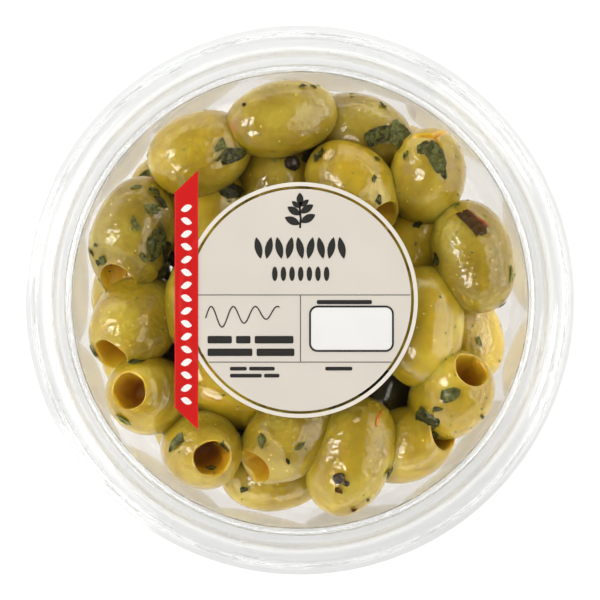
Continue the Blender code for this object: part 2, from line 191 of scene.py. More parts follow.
# Painted shade: olives are painted dimmer and browner deep in the heap, away from the wall, where the
# olives above shade them: below this height, over this height range and by this share
SHADE_PAINTED_BELOW = 27.0
SHADE_PAINTED_OVER = 9.0
SHADE_PAINTED_SHARE = 0.72
# How far the mouth of a pit is cut slantwise, so that it opens upwards
SLANT = {"left": 0.62, "centre_right": 0.35, "bottom_centre": 0.35}

# Pieces of basil leaf on the olives: X, Y, length, width, direction, corners of its outline,
# how far its edge curls up, and its tone from dark to grey-green.
LEAVES = (
    (-35.4, 24.3, 3.2, 1.2, 12, 5, 0.2, 0.5),
    (-31.6, 23.6, 3.4, 1.8, 330, 6, 0.5, 0.2),
    (-30.2, 21.3, 4.0, 1.9, 318, 5, 0.3, 0.1),
    (-31.6, 19.6, 4.6, 3.4, 15, 5, 0.4, 0.45),
    (-35.2, 16.1, 4.6, 2.0, 290, 4, 0.4, 0.4),
    (-30.9, 12.0, 8.6, 4.8, 75, 8, 0.9, 0.25),
    (-29.0, 10.4, 5.6, 3.0, 100, 6, 0.5, 0.0),
    (-33.7, 9.2, 3.4, 2.0, 120, 6, 0.4, 0.5),
    (-30.0, 6.4, 4.6, 3.8, 40, 6, 0.3, 0.0),
    (-43.6, 8.2, 2.0, 1.2, 290, 5, 0.3, 0.3),
    (-45.2, 10.4, 2.2, 1.1, 290, 4, 0.2, 0.1),
    (-44.0, 11.9, 1.4, 1.2, 20, 5, 0.2, 0.4),
    (-42.6, 8.7, 3.0, 2.2, 60, 5, 0.4, 0.3),
    (-33.9, 27.4, 4.6, 1.8, 40, 6, 0.8, 0.6),
    (-14.6, 31.0, 8.0, 4.4, 12, 7, 0.7, 0.15),
    (-17.0, 33.2, 3.4, 2.4, 60, 6, 0.5, 0.5),
    (-17.6, 30.3, 2.2, 1.0, 40, 5, 0.4, 0.1),
    (0.4, 46.0, 2.2, 1.0, 20, 5, 0.4, 0.2),
    (2.9, 46.1, 1.8, 0.9, 150, 5, 0.3, 0.3),
    (4.2, 31.2, 4.6, 2.6, 60, 6, 0.7, 0.1),
    (1.4, 30.2, 3.6, 2.6, 120, 6, 0.5, 0.0),
    (-15.0, 23.4, 6.4, 4.8, 20, 6, 0.3, 0.0),
    (17.0, 21.6, 3.0, 1.6, 60, 5, 0.4, 0.1),
    (15.9, 26.0, 2.4, 1.4, 80, 5, 0.3, 0.3),
    (16.6, 30.4, 2.0, 1.2, 20, 5, 0.3, 0.2),
    (16.8, 35.6, 7.4, 4.8, 25, 7, 0.9, 0.15),
    (21.0, 36.6, 6.6, 4.0, 65, 7, 0.9, 0.4),
    (23.1, 36.0, 4.4, 2.4, 120, 6, 0.7, 0.2),
    (18.0, 42.3, 2.4, 1.2, 320, 5, 0.4, 0.2),
    (21.8, 33.6, 3.4, 2.2, 100, 6, 0.6, 0.1),
    (29.2, 31.2, 7.0, 4.8, 105, 7, 0.9, 0.3),
    (30.9, 27.4, 4.8, 1.6, 290, 5, 0.4, 0.2),
    (26.7, 32.9, 4.6, 2.6, 40, 6, 0.7, 0.15),
    (22.8, 31.1, 2.2, 1.2, 60, 5, 0.4, 0.2),
    (34.1, 20.4, 1.8, 1.0, 40, 5, 0.2, 0.2),
    (45.5, 5.2, 4.8, 2.2, 98, 3, 0.2, 0.95),
    (43.5, -1.0, 2.6, 1.0, 60, 4, 0.3, 0.7),
    (38.9, -8.9, 3.0, 1.2, 290, 5, 0.4, 0.9),
    (32.4, -20.2, 5.6, 3.4, 20, 8, 0.8, 0.3),
    (27.4, -25.7, 7.4, 4.8, 330, 8, 0.9, 0.1),
    (29.6, -23.4, 3.0, 1.6, 20, 5, 0.5, 0.3),
    (28.6, -28.8, 3.8, 2.2, 10, 6, 0.5, 0.4),
    (39.3, -25.1, 2.4, 1.2, 300, 5, 0.3, 0.3),
    (19.0, -37.2, 3.4, 1.8, 60, 6, 0.5, 0.2),
    (14.6, -43.2, 1.6, 0.9, 120, 5, 0.2, 0.2),
    (-8.2, -30.1, 3.6, 2.6, 100, 6, 0.5, 0.35),
    (0.1, -31.4, 3.2, 1.4, 40, 5, 0.4, 0.3),
    (-2.6, -34.6, 2.4, 1.2, 110, 5, 0.4, 0.1),
    (-26.2, -30.4, 4.2, 3.2, 60, 6, 0.7, 0.4),
    (-27.8, -32.2, 2.4, 1.2, 250, 5, 0.4, 0.1),
    (-16.1, -31.6, 3.6, 1.8, 120, 6, 0.5, 0.2),
    (-19.3, -36.5, 3.0, 1.6, 160, 5, 0.5, 0.3),
    (-35.4, -13.5, 4.2, 1.8, 5, 6, 0.5, 0.2),
    (-38.4, -25.5, 4.8, 1.8, 335, 6, 0.6, 0.75),
    (-44.7, -11.0, 3.8, 1.2, 300, 5, 0.4, 0.4),
    (-12.3, -41.2, 2.6, 1.4, 30, 5, 0.4, 0.2),
    (25.4, 16.8, 3.2, 2.0, 60, 6, 0.5, 0.2),
    (29.6, 8.6, 3.6, 1.8, 100, 6, 0.5, 0.15),
    (-26.4, 20.6, 3.0, 1.6, 80, 6, 0.4, 0.1),
    (-27.4, 9.0, 5.6, 4.6, 100, 6, 0.2, 0.0),
)
LEAF_THICKNESS = 0.16
LEAF_ROUND = 30
LEAF_RINGS = (0.0, 0.25, 0.5, 0.7, 0.86, 1.0)

# Black pepper on the olives: X, Y, diameter.
CORNS = ((-1.9, 29.5, 3.5), (8.4, -38.2, 2.6), (10.0, -39.4, 1.4), (-12.0, 42.0, 0.9))
CORN_LIFT = 0.2

# Bits of other spice on the olives: kind, X, Y, length, width, direction.
SPICES = (
    ("dried_pepper", 37.4, 16.4, 9.6, 5.0, 312),
    ("dried_pepper", 11.4, -45.2, 1.8, 1.2, 20),
    ("dried_pepper", 8.3, -40.9, 2.4, 1.5, 140),
    ("garlic", 6.4, 31.0, 2.8, 2.0, 60),
    ("garlic", 12.2, -25.8, 1.6, 1.0, 30),
    ("thread", 17.0, -25.4, 4.6, 0.7, 60),
)

# Stage: half the floor's side and its level in metres, and the surround's brightness by height
FLOOR_HALF = 4.0
FLOOR_TOP = -0.0001
SQUARE = ((-1, -1), (1, -1), (1, 1), (-1, 1))
SKY = ((0.0, 1.0), (0.3, 1.0), (0.36, 0.12), (0.6, 0.04), (0.85, 0.006))


def hex_colour(code):
    """Linear colour with full alpha, from an sRGB hex code."""
    parts = [int(code[i : i + 2], 16) / 255 for i in (0, 2, 4)]
    return (*(p / 12.92 if p <= 0.04045 else ((p + 0.055) / 1.055) ** 2.4 for p in parts), 1.0)


def per_mm(size):
    """Texture scale that gives features of about this many millimetres."""
    return 1.0 / (size * MM)


def colour_property(name, description, code):
    return bpy.props.FloatVectorProperty(
        name=name, description=description, subtype="COLOR", size=4, min=0.0, max=1.0,
        default=hex_colour(code),
    )


def length_property(name, description, millimetres):
    return bpy.props.FloatProperty(
        name=name, description=description, subtype="DISTANCE", unit="LENGTH",
        default=millimetres * MM, min=0.0, precision=5,
    )


class OliveTubSettings(bpy.types.PropertyGroup):
    """Sizes and colours of the clear tub and its lid."""

    steps: bpy.props.IntProperty(
        name="Steps", description="Faces round the tub and the lid", default=360, min=24, max=720
    )
    corner: length_property("Corner radius", "Rounding of the moulded corners", 0.45)
    dents: bpy.props.IntProperty(
        name="Dents", description="Dents round the lid's skirt", default=15, min=1, max=60
    )
    dent_depth: length_property("Dent depth", "How far each dent goes in", 0.5)
    pads: bpy.props.IntProperty(
        name="Pads", description="Raised pads round the lid's panel", default=7, min=1, max=60
    )
    pad_height: length_property("Pad height", "Top of the pads above the ground", 39.95)
    tub_colour: colour_property("Tub", "Tint of the tub's plastic", "F6F4F1")
    lid_colour: colour_property("Lid", "Tint of the lid's plastic", "F7F6F4")


class OliveLabelSettings(bpy.types.PropertyGroup):
    """Colours of the label and the strip."""

    paper: colour_property("Paper", "Cream of the label", "E9E0D3")
    ring: colour_property("Ring", "Cream of the ring at its edge", "EFE7DA")
    ink: colour_property("Ink", "Dark print", "33322F")
    panel: colour_property("Panel", "White box on the label", "F6F4F0")
    strip: colour_property("Strip", "Red of the strip", "D51D1B")
    marks: colour_property("Marks", "White marks on the strip", "FBF7F2")


class OliveFleshSettings(bpy.types.PropertyGroup):
    """Sizes and colours of the olives."""

    sides: bpy.props.IntProperty(
        name="Sides", description="Faces round each olive", default=64, min=12, max=96
    )
    rings: bpy.props.IntProperty(
        name="Rings", description="Faces along each olive", default=54, min=12, max=80
    )
    lump: length_property("Lump height", "Unevenness of the flesh", 0.2)
    light: colour_property("Light", "Palest flesh", "A08C2A")
    middle: colour_property("Middle", "Most of the flesh", "8E7611")
    shade: colour_property("Shade", "Darkest flesh", "846D0E")
    pit_edge: colour_property("Pit edge", "Flesh at the mouth of the pit", "B89A1E")
    # Painted shade: the pit's flesh is painted darker, down to this brown at its floor
    pit_floor_shade: colour_property("Pit floor", "Flesh deep in the pit", "8C5206")
    scar: colour_property("Scar", "Stem scar", "96683A")


class OliveHerbSettings(bpy.types.PropertyGroup):
    """Colours of the herbs, and how many small flecks there are."""

    leaf_dark: colour_property("Dark leaf", "Wet dark side of the basil", "262205")
    # Grey-green mixed into the basil in patches and on some pieces
    leaf_light: colour_property("Light leaf", "Dull grey-green side of the basil", "787B3C")
    fleck_density: bpy.props.FloatProperty(
        name="Flecks", description="Small flecks in each square centimetre", default=2.0, min=0.0
    )
    fleck_size: length_property("Fleck size", "Length of a typical fleck", 0.75)
    seed: bpy.props.IntProperty(name="Seed", description="Seed of the flecks", default=11)


class OliveStudioSettings(bpy.types.PropertyGroup):
    """Lights and floor."""

    floor: colour_property("Floor", "Plain pale floor", "B4B4B4")
    surround: bpy.props.FloatProperty(
        name="Surround", description="Brightness of the surround at its horizon", default=3.4, min=0.0
    )
    softbox: bpy.props.FloatProperty(
        name="Softbox", description="Brightness of the large light", default=3.0, min=0.0
    )
    fill: bpy.props.FloatProperty(
        name="Fill", description="Brightness of the light overhead", default=2.12, min=0.0
    )
    window: bpy.props.FloatProperty(
        name="Window", description="Brightness of the small lights", default=20.0, min=0.0
    )


def add(tree, kind, sockets=None, stops=(), **settings):
    """Adds a node: settings are its properties, sockets its values or links, stops a ramp's.

    A node given for a socket is linked from its first output in use.
    """
    made = tree.nodes.new(kind)
    for name, value in settings.items():
        setattr(made, name, value)
    for name, value in (sockets or {}).items():
        if isinstance(value, bpy.types.Node):
            value = next(output for output in value.outputs if output.enabled)
        if isinstance(value, bpy.types.NodeSocket):
            tree.links.new(value, made.inputs[name])
        else:
            made.inputs[name].default_value = value
    for index, (place, colour) in enumerate(stops):
        elements = made.color_ramp.elements
        element = elements[index] if index < len(elements) else elements.new(1.0)
        element.position, element.color = place, colour
    return made


def new_material(name):
    """A material with an empty node tree, and that tree's object coordinates."""
    made = bpy.data.materials.new(name)
    made.use_nodes = True
    made.node_tree.nodes.clear()
    return made, made.node_tree, add(made.node_tree, "ShaderNodeTexCoord").outputs["Object"]


def surfaced(tree, sockets):
    """Ends a material in a Principled shader with these sockets."""
    add(tree, "ShaderNodeOutputMaterial", {"Surface": add(tree, "ShaderNodeBsdfPrincipled", sockets)})


def grey(value):
    return (value, value, value, 1.0)


def clear_plastic(name, tint, formed_tint, roughness, formed_roughness, ior, coat):
    """Thermoformed clear plastic: water-clear, hazier where it is drawn out, with painted shade that greys
    the flange's outer edge.

    Shadow rays pass, so that lamps light what is inside. The index is set lower than the
    sheet's own, because the thin sheet hardly bends what is seen through it.
    """
    made, tree, coords = new_material(name)
    haze = add(tree, "ShaderNodeTexNoise", {"Vector": coords, "Scale": per_mm(16.0), "Detail": 2.0})
    span = {"From Min": 0.3, "From Max": 0.75, "To Min": 0.8, "To Max": 1.25}
    rough = add(tree, "ShaderNodeMapRange", {"Value": haze, **span})
    plan = add(tree, "ShaderNodeVectorMath", {0: coords, 1: (1.0, 1.0, 0.0)}, operation="MULTIPLY")
    radius = add(tree, "ShaderNodeVectorMath", {0: plan}, operation="LENGTH")
    span = {"From Min": 48.6 * MM, "From Max": 49.6 * MM}
    drawn = add(tree, "ShaderNodeMapRange", {"Value": radius, **span})
    span = {"To Min": roughness, "To Max": formed_roughness}
    base_haze = add(tree, "ShaderNodeMapRange", {"Value": drawn, **span})
    colour = add(tree, "ShaderNodeMix", {0: drawn, 6: tint, 7: formed_tint}, data_type="RGBA")
    # Painted shade: the flange's outer edge is tinted grey for the darker surround seen through its curve
    span = {"From Min": 57.5 * MM, "From Max": 57.9 * MM}
    flange = add(tree, "ShaderNodeMapRange", {"Value": radius, **span})
    edge = {0: flange, 6: colour, 7: hex_colour("E4E5E5")}
    flange_edge_shaded = add(tree, "ShaderNodeMix", edge, data_type="RGBA")
    hazed = add(tree, "ShaderNodeMath", {0: rough, 1: base_haze}, operation="MULTIPLY")
    finish = {"Base Color": flange_edge_shaded, "Roughness": hazed, "IOR": ior, "Transmission Weight": 1.0}
    finish |= {"Coat Weight": coat, "Coat Roughness": 0.03}
    shader = add(tree, "ShaderNodeBsdfPrincipled", finish)
    ray = add(tree, "ShaderNodeLightPath").outputs["Is Shadow Ray"]
    passing = add(tree, "ShaderNodeBsdfTransparent", {"Color": grey(0.97)})
    mixed = add(tree, "ShaderNodeMixShader", {0: ray, 1: shader, 2: passing})
    add(tree, "ShaderNodeOutputMaterial", {"Surface": mixed})
    return made


def olive_flesh(settings):
    """Brined olive flesh wet with oil: waxy gold-green, faintly see-through, with painted shade that
    browns the pit towards its floor and dims olives deep in the heap.
    """
    made, tree, coords = new_material("brined_olive_flesh")
    cloud = {"Vector": coords, "Scale": per_mm(9.0), "Detail": 2.0, "Roughness": 0.5}
    broad = add(tree, "ShaderNodeTexNoise", cloud)
    stops = ((0.32, settings.shade), (0.5, settings.middle), (0.7, settings.light))
    base = add(tree, "ShaderNodeValToRGB", {"Fac": broad}, stops)
    # The tone holds each olive's own brightness together with painted light and painted shade
    tone = add(tree, "ShaderNodeAttribute", attribute_name="tone")
    shade = {"data_type": "RGBA", "blend_type": "MULTIPLY"}
    toned = add(tree, "ShaderNodeMix", {0: 1.0, 6: base, 7: tone}, **shade)
    speckle = {"Vector": coords, "Scale": per_mm(1.6), "Detail": 4.0, "Roughness": 0.6}
    mottle = add(tree, "ShaderNodeTexNoise", speckle)
    span = {"From Min": 0.3, "From Max": 0.7, "To Min": 0.93, "To Max": 1.05}
    share = add(tree, "ShaderNodeMapRange", {"Value": mottle, **span})
    mottled = add(tree, "ShaderNodeMix", {0: 1.0, 6: toned, 7: share}, **shade)
    # Pale pores about 0.3 mm wide, some 2 mm apart
    cells = {"Vector": coords, "Scale": per_mm(2.6), "Randomness": 1.0}
    pores = add(tree, "ShaderNodeTexVoronoi", cells)
    span = {"From Min": 0.05, "From Max": 0.11, "To Min": 0.6, "To Max": 0.0}
    share = add(tree, "ShaderNodeMapRange", {"Value": pores, **span})
    pale = hex_colour("DCCB78")
    pored = add(tree, "ShaderNodeMix", {0: share, 6: mottled, 7: pale}, data_type="RGBA")
    hole = add(tree, "ShaderNodeAttribute", attribute_name="hole").outputs["Fac"]
    # Painted shade: the flesh darkens from the pale mouth to the brown floor of the pit as the hole
    # deepens
    stops = ((0.0, settings.pit_edge), (0.3, hex_colour("BC8C12")))
    stops += ((0.6, hex_colour("A87208")), (1.0, settings.pit_floor_shade))
    pit = add(tree, "ShaderNodeValToRGB", {"Fac": hole}, stops)
    in_pit = add(tree, "ShaderNodeMapRange", {"Value": hole, "From Min": 0.0, "From Max": 0.06})
    pitted = add(tree, "ShaderNodeMix", {0: in_pit, 6: pored, 7: pit}, data_type="RGBA")
    scar = add(tree, "ShaderNodeAttribute", attribute_name="scar").outputs["Fac"]
    scarred = add(tree, "ShaderNodeMix", {0: scar, 6: pitted, 7: settings.scar}, data_type="RGBA")
    # Oil film: waves that break the lamps up into islands, as strong as the skin is uneven
    skin = add(tree, "ShaderNodeAttribute", attribute_name="skin").outputs["Fac"]
    lumps = add(tree, "ShaderNodeTexNoise", {"Vector": coords, "Scale": per_mm(1.15), "Detail": 0.6})
    relief = add(tree, "ShaderNodeBump", {"Height": lumps, "Strength": skin, "Distance": 0.36 * MM})
    finish = {"Base Color": scarred, "Normal": relief, "Roughness": 0.5, "IOR": 1.2}
    finish |= {"Subsurface Weight": 0.5, "Subsurface Radius": (1.0, 0.62, 0.12)}
    finish |= {"Subsurface Scale": 3.0 * MM, "Coat Normal": relief, "Coat Weight": 1.0}
    surfaced(tree, finish | {"Coat Roughness": 0.025, "Coat IOR": 1.54})
    return made


def basil_leaf(settings):
    """Chopped basil soaked in oil: dark, wet and veined, mixed with grey-green in patches and on some
    pieces.
    """
    made, tree, coords = new_material("oil_soaked_basil")
    tone = add(tree, "ShaderNodeAttribute", attribute_name="tone").outputs["Fac"]
    net = {"Vector": coords, "Scale": per_mm(0.9), "Detail": 4.0, "Distortion": 0.6}
    veins = add(tree, "ShaderNodeTexNoise", net)
    span = {"From Min": 0.4, "From Max": 0.62, "To Min": -0.15, "To Max": 0.25}
    patches = add(tree, "ShaderNodeMapRange", {"Value": veins, **span})
    terms = {0: tone, 1: 0.8, 2: patches}
    shifted = add(tree, "ShaderNodeMath", terms, operation="MULTIPLY_ADD", use_clamp=True)
    colours = {6: settings.leaf_dark, 7: settings.leaf_light}
    colour = add(tree, "ShaderNodeMix", {0: shifted, **colours}, data_type="RGBA")
    bump = add(tree, "ShaderNodeBump", {"Height": veins, "Strength": 1.0, "Distance": 0.2 * MM})
    finish = {"Base Color": colour, "Normal": bump, "Roughness": 0.6, "IOR": 1.12}
    surfaced(tree, finish | {"Coat Weight": 0.25, "Coat Roughness": 0.06})
    return made


def grained(name, dark, light, grain, roughness, coat, relief, edge=None):
    """A natural bit with two mixed colours and an uneven, slightly wet surface.

    Where an edge colour is given, it takes over as the piece's tone nears 1.
    """
    made, tree, coords = new_material(name)
    flakes = {"Vector": coords, "Scale": per_mm(grain), "Detail": 4.0, "Distortion": 0.4}
    grains = add(tree, "ShaderNodeTexNoise", flakes)
    stops = ((0.36, hex_colour(dark)), (0.66, hex_colour(light)))
    shown = add(tree, "ShaderNodeValToRGB", {"Fac": grains}, stops)
    rise = {"Height": grains, "Strength": 0.7, "Distance": relief * MM}
    bump = add(tree, "ShaderNodeBump", rise)
    if edge:
        tone = add(tree, "ShaderNodeAttribute", attribute_name="tone").outputs["Fac"]
        shown = add(tree, "ShaderNodeMix", {0: tone, 6: shown, 7: hex_colour(edge)}, data_type="RGBA")
    finish = {"Base Color": shown, "Normal": bump, "Roughness": roughness, "IOR": 1.15}
    surfaced(tree, finish | {"Coat Weight": coat, "Coat Roughness": 0.08})
    return made


def printed_film(name, colour, roughness, alpha):
    """Printed plastic film: even colour with a faint cloudiness and a satin sheen."""
    made, tree, coords = new_material(name)
    cloud = add(tree, "ShaderNodeTexNoise", {"Vector": coords, "Scale": per_mm(14.0), "Detail": 2.0})
    span = {"From Min": 0.3, "From Max": 0.7, "To Min": 0.965, "To Max": 1.02}
    share = add(tree, "ShaderNodeMapRange", {"Value": cloud, **span})
    blend = {0: 1.0, 6: colour, 7: share}
    mixed = add(tree, "ShaderNodeMix", blend, data_type="RGBA", blend_type="MULTIPLY")
    grain = add(tree, "ShaderNodeTexNoise", {"Vector": coords, "Scale": per_mm(0.4), "Detail": 2.0})
    bump = add(tree, "ShaderNodeBump", {"Height": grain, "Strength": 0.2, "Distance": 0.02 * MM})
    finish = {"Base Color": mixed, "Normal": bump, "Roughness": roughness}
    surfaced(tree, finish | {"IOR": 1.15, "Alpha": alpha})
    return made


def placed_object(name, mesh, finish, smooth):
    """Puts a mesh in the scene under a name, with one finish."""
    made = bpy.data.objects.new(name, mesh)
    bpy.context.scene.collection.objects.link(made)
    mesh.materials.clear()
    mesh.materials.append(finish)
    if smooth:
        mesh.shade_smooth()
    return made


def mesh_object(name, verts, faces, finish, smooth=True):
    """A new object of the scene from points in metres."""
    mesh = bpy.data.meshes.new(name)
    mesh.from_pydata(verts, [], faces)
    mesh.update()
    return placed_object(name, mesh, finish, smooth)


def bmesh_object(name, bm, finish, smooth=False):
    bmesh.ops.recalc_face_normals(bm, faces=bm.faces)
    mesh = bpy.data.meshes.new(name)
    bm.to_mesh(mesh)
    bm.free()
    return placed_object(name, mesh, finish, smooth)


def store(thing, name, values):
    """Stores one number for each point of the mesh under a name."""
    attribute = thing.data.attributes.new(name, "FLOAT", "POINT")
    attribute.data.foreach_set("value", np.asarray(values, np.float32))


def belongs(thing, node):
    """Attaches the finished piece to the root and hides the CAD node it stands for."""
    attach(thing, "root")
    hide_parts(node)


def rounded(points, radius, steps=4):
    """The outline with each inner corner replaced by a short curve."""
    made = [Vector(points[0])]
    for before, corner, after in zip(points, points[1:], points[2:]):
        before, corner, after = Vector(before), Vector(corner), Vector(after)
        back, on = before - corner, after - corner
        start = corner + back.normalized() * min(radius, back.length * 0.45)
        end = corner + on.normalized() * min(radius, on.length * 0.45)
        for step in range(steps + 1):
            t = step / steps
            made.append(start.lerp(corner, t).lerp(corner.lerp(end, t), t))
    made.append(Vector(points[-1]))
    return made


def new_tree(name, inputs):
    """A geometry node tree with these named inputs, and the sockets they give."""
    tree = bpy.data.node_groups.new(name, "GeometryNodeTree")
    for label, kind in inputs:
        tree.interface.new_socket(label, in_out="INPUT", socket_type="NodeSocket" + kind)
    tree.interface.new_socket("Mesh", in_out="OUTPUT", socket_type="NodeSocketGeometry")
    return tree, add(tree, "NodeGroupInput").outputs


def dressed(tree, shape, finish):
    """Ends a tree in plain geometry with its finish."""
    real = add(tree, "GeometryNodeRealizeInstances", {"Geometry": shape})
    done = add(tree, "GeometryNodeSetMaterial", {"Geometry": real, "Material": finish})
    add(tree, "NodeGroupOutput", {"Mesh": done})
    return tree


def from_nearest(tree, turn, first, period):
    """Angle from the nearest of a row of places that are a period apart."""
    past = add(tree, "ShaderNodeMath", {0: turn, 1: first}, operation="SUBTRACT")
    half, other = (
        add(tree, "ShaderNodeMath", {0: period, 1: share}, operation="MULTIPLY")
        for share in (0.5, -0.5)
    )
    return add(tree, "ShaderNodeMath", {0: past, 1: half, 2: other}, operation="WRAP")


def eased(tree, value, none, full):
    """Smooth share from 0 to 1 as a value goes from one limit to the other."""
    limits = {"Value": value, "From Min": none, "From Max": full}
    return add(tree, "ShaderNodeMapRange", limits, interpolation_type="SMOOTHSTEP")


def product(tree, value, shares):
    for share in shares:
        value = add(tree, "ShaderNodeMath", {0: value, 1: share}, operation="MULTIPLY")
    return value


def sweep_tree(name, finish):
    """Sweeps a profile round the Z axis, with dents in a skirt and pads on a panel."""
    lengths = ("Radius", "Dent Depth", "Dent Period", "Dent First", "Dent Half Width")
    lengths += ("Pad Top", "Pad Period", "Pad First", "Pad Half Width")
    inputs = [("Profile", "Geometry"), ("Steps", "Int")] + [(label, "Float") for label in lengths]
    tree, given = new_tree(name, inputs)
    profile = add(tree, "GeometryNodeMeshToCurve", {"Mesh": given["Profile"]})
    round_axis = {"Resolution": given["Steps"], "Radius": given["Radius"]}
    circle = add(tree, "GeometryNodeCurvePrimitiveCircle", round_axis)
    swept = add(tree, "GeometryNodeCurveToMesh", {"Curve": circle, "Profile Curve": profile})
    shell = {"Geometry": swept, "Distance": 0.001 * MM}
    merged = add(tree, "GeometryNodeMergeByDistance", shell)
    place = add(tree, "GeometryNodeInputPosition")
    axes = add(tree, "ShaderNodeSeparateXYZ", {0: place}).outputs
    plan = add(tree, "ShaderNodeVectorMath", {0: place, 1: (1.0, 1.0, 0.0)}, operation="MULTIPLY")
    radius = add(tree, "ShaderNodeVectorMath", {0: plan}, operation="LENGTH")
    turn = add(tree, "ShaderNodeMath", {0: axes["X"], 1: axes["Y"]}, operation="ARCTAN2")

    # Dents: how far round from the nearest one, then how far down the skirt
    near = from_nearest(tree, turn, given["Dent First"], given["Dent Period"])
    ratio = add(tree, "ShaderNodeMath", {0: near, 1: given["Dent Half Width"]}, operation="DIVIDE")
    square = add(tree, "ShaderNodeMath", {0: ratio, 1: ratio}, operation="MULTIPLY")
    rest = {0: 1.0, 1: square}
    bowl = add(tree, "ShaderNodeMath", rest, operation="SUBTRACT", use_clamp=True)
    above = eased(tree, axes["Z"], 38.75 * MM, 37.95 * MM)
    below = eased(tree, axes["Z"], 37.3 * MM, 37.65 * MM)
    outer = add(tree, "ShaderNodeMath", {0: radius, 1: 56.5 * MM}, operation="GREATER_THAN")
    inward = product(tree, given["Dent Depth"], (bowl, above, below, outer, -1.0))
    outward = add(tree, "ShaderNodeVectorMath", {0: plan}, operation="NORMALIZE")
    step_in = {0: outward, "Scale": inward}
    dented = add(tree, "ShaderNodeVectorMath", step_in, operation="SCALE")

    # Pads: only on the upper face near the panel's edge
    near = from_nearest(tree, turn, given["Pad First"], given["Pad Period"])
    off = add(tree, "ShaderNodeMath", {0: near}, operation="ABSOLUTE")
    width = given["Pad Half Width"]
    beyond = add(tree, "ShaderNodeMath", {0: width, 1: off}, operation="SUBTRACT")
    along = eased(tree, beyond, 0.0, math.radians(1.2))
    inner = eased(tree, radius, 49.05 * MM, 49.2 * MM)
    rim = eased(tree, radius, 50.05 * MM, 49.9 * MM)
    total = add(tree, "ShaderNodeMath", {0: radius, 1: axes["Z"]}, operation="ADD")
    upper = add(tree, "ShaderNodeMath", {0: total, 1: 88.4 * MM}, operation="GREATER_THAN")
    gap = add(tree, "ShaderNodeMath", {0: given["Pad Top"], 1: axes["Z"]}, operation="SUBTRACT")
    raised = add(tree, "ShaderNodeCombineXYZ", {"Z": product(tree, gap, (along, inner, rim, upper))})
    moved = add(tree, "ShaderNodeVectorMath", {0: dented, 1: raised})
    shaped = add(tree, "GeometryNodeSetPosition", {"Geometry": merged, "Offset": moved})
    return dressed(tree, add(tree, "GeometryNodeSetShadeSmooth", {"Geometry": shaped}), finish)


def grown(name, base, tree, values, finish):
    """Runs a node tree on a base object with the given inputs, and keeps the plain result."""
    modifier = base.modifiers.new("Rule", "NODES")
    modifier.node_group = tree
    for item in tree.interface.items_tree:
        if item.item_type == "SOCKET" and item.in_out == "INPUT" and item.name in values:
            modifier[item.identifier] = values[item.name]
    bpy.context.view_layer.update()
    graph = bpy.context.evaluated_depsgraph_get()
    mesh = bpy.data.meshes.new_from_object(base.evaluated_get(graph))
    base.modifiers.remove(modifier)
    bpy.data.objects.remove(base, do_unlink=True)
    mesh.name = name
    return placed_object(name, mesh, finish, False)


def swept(name, profile, settings, finish, dent_depth, pad_top):
    """A closed shell of revolution from its profile, by the sweep tree."""
    reach = max(point[0] for point in profile)
    points = [((p[0] - reach) * MM, -p[1] * MM, 0.0) for p in profile]
    edges = [(index, index + 1) for index in range(len(points) - 1)]
    mesh = bpy.data.meshes.new(name + "_profile")
    mesh.from_pydata(points, edges, [])
    base = bpy.data.objects.new(name + "_profile", mesh)
    bpy.context.scene.collection.objects.link(base)
    values = {
        "Steps": settings.steps, "Radius": reach * MM, "Dent Depth": dent_depth,
        "Dent Period": math.tau / settings.dents, "Dent First": DENT_FIRST,
        "Dent Half Width": DENT_HALF_WIDTH, "Pad Top": pad_top, "Pad Period": math.tau / settings.pads,
        "Pad First": PAD_FIRST, "Pad Half Width": PAD_HALF_WIDTH,
    }
    return grown(name, base, sweep_tree(name + "_sweep", finish), values, finish)


def axis_of(heading, rise):
    across = math.cos(math.radians(rise))
    return (
        across * math.cos(math.radians(heading)), across * math.sin(math.radians(heading)),
        math.sin(math.radians(rise)),
    )


def olive_rows():
    """A row for every olive: those that show, then those on the floor of the tub."""
    rows = list(SHOWN_OLIVES)
    length, width = FLOOR_OLIVE
    for ring, (count, radius, first, turn) in enumerate(FLOOR_RINGS):
        for step in range(count):
            angle = first + step * 360.0 / count
            x = radius * math.cos(math.radians(angle))
            y = radius * math.sin(math.radians(angle))
            heading = angle + 90.0 + turn * (-1) ** step
            kind = "pit" if step % 2 else "plain"
            rows.append((f"floor_{ring}_{step}", x, y, FLOOR_LEVEL, length, width, heading, 0, kind))
    return rows


def wall_radius(height):
    """Inner radius of the tub's wall at a height."""
    (r0, z0), (r1, z1) = WALL_FOOT, WALL_HEAD
    return r0 + (r1 - r0) * (np.clip(height, z0, z1) - z0) / (z1 - z0)


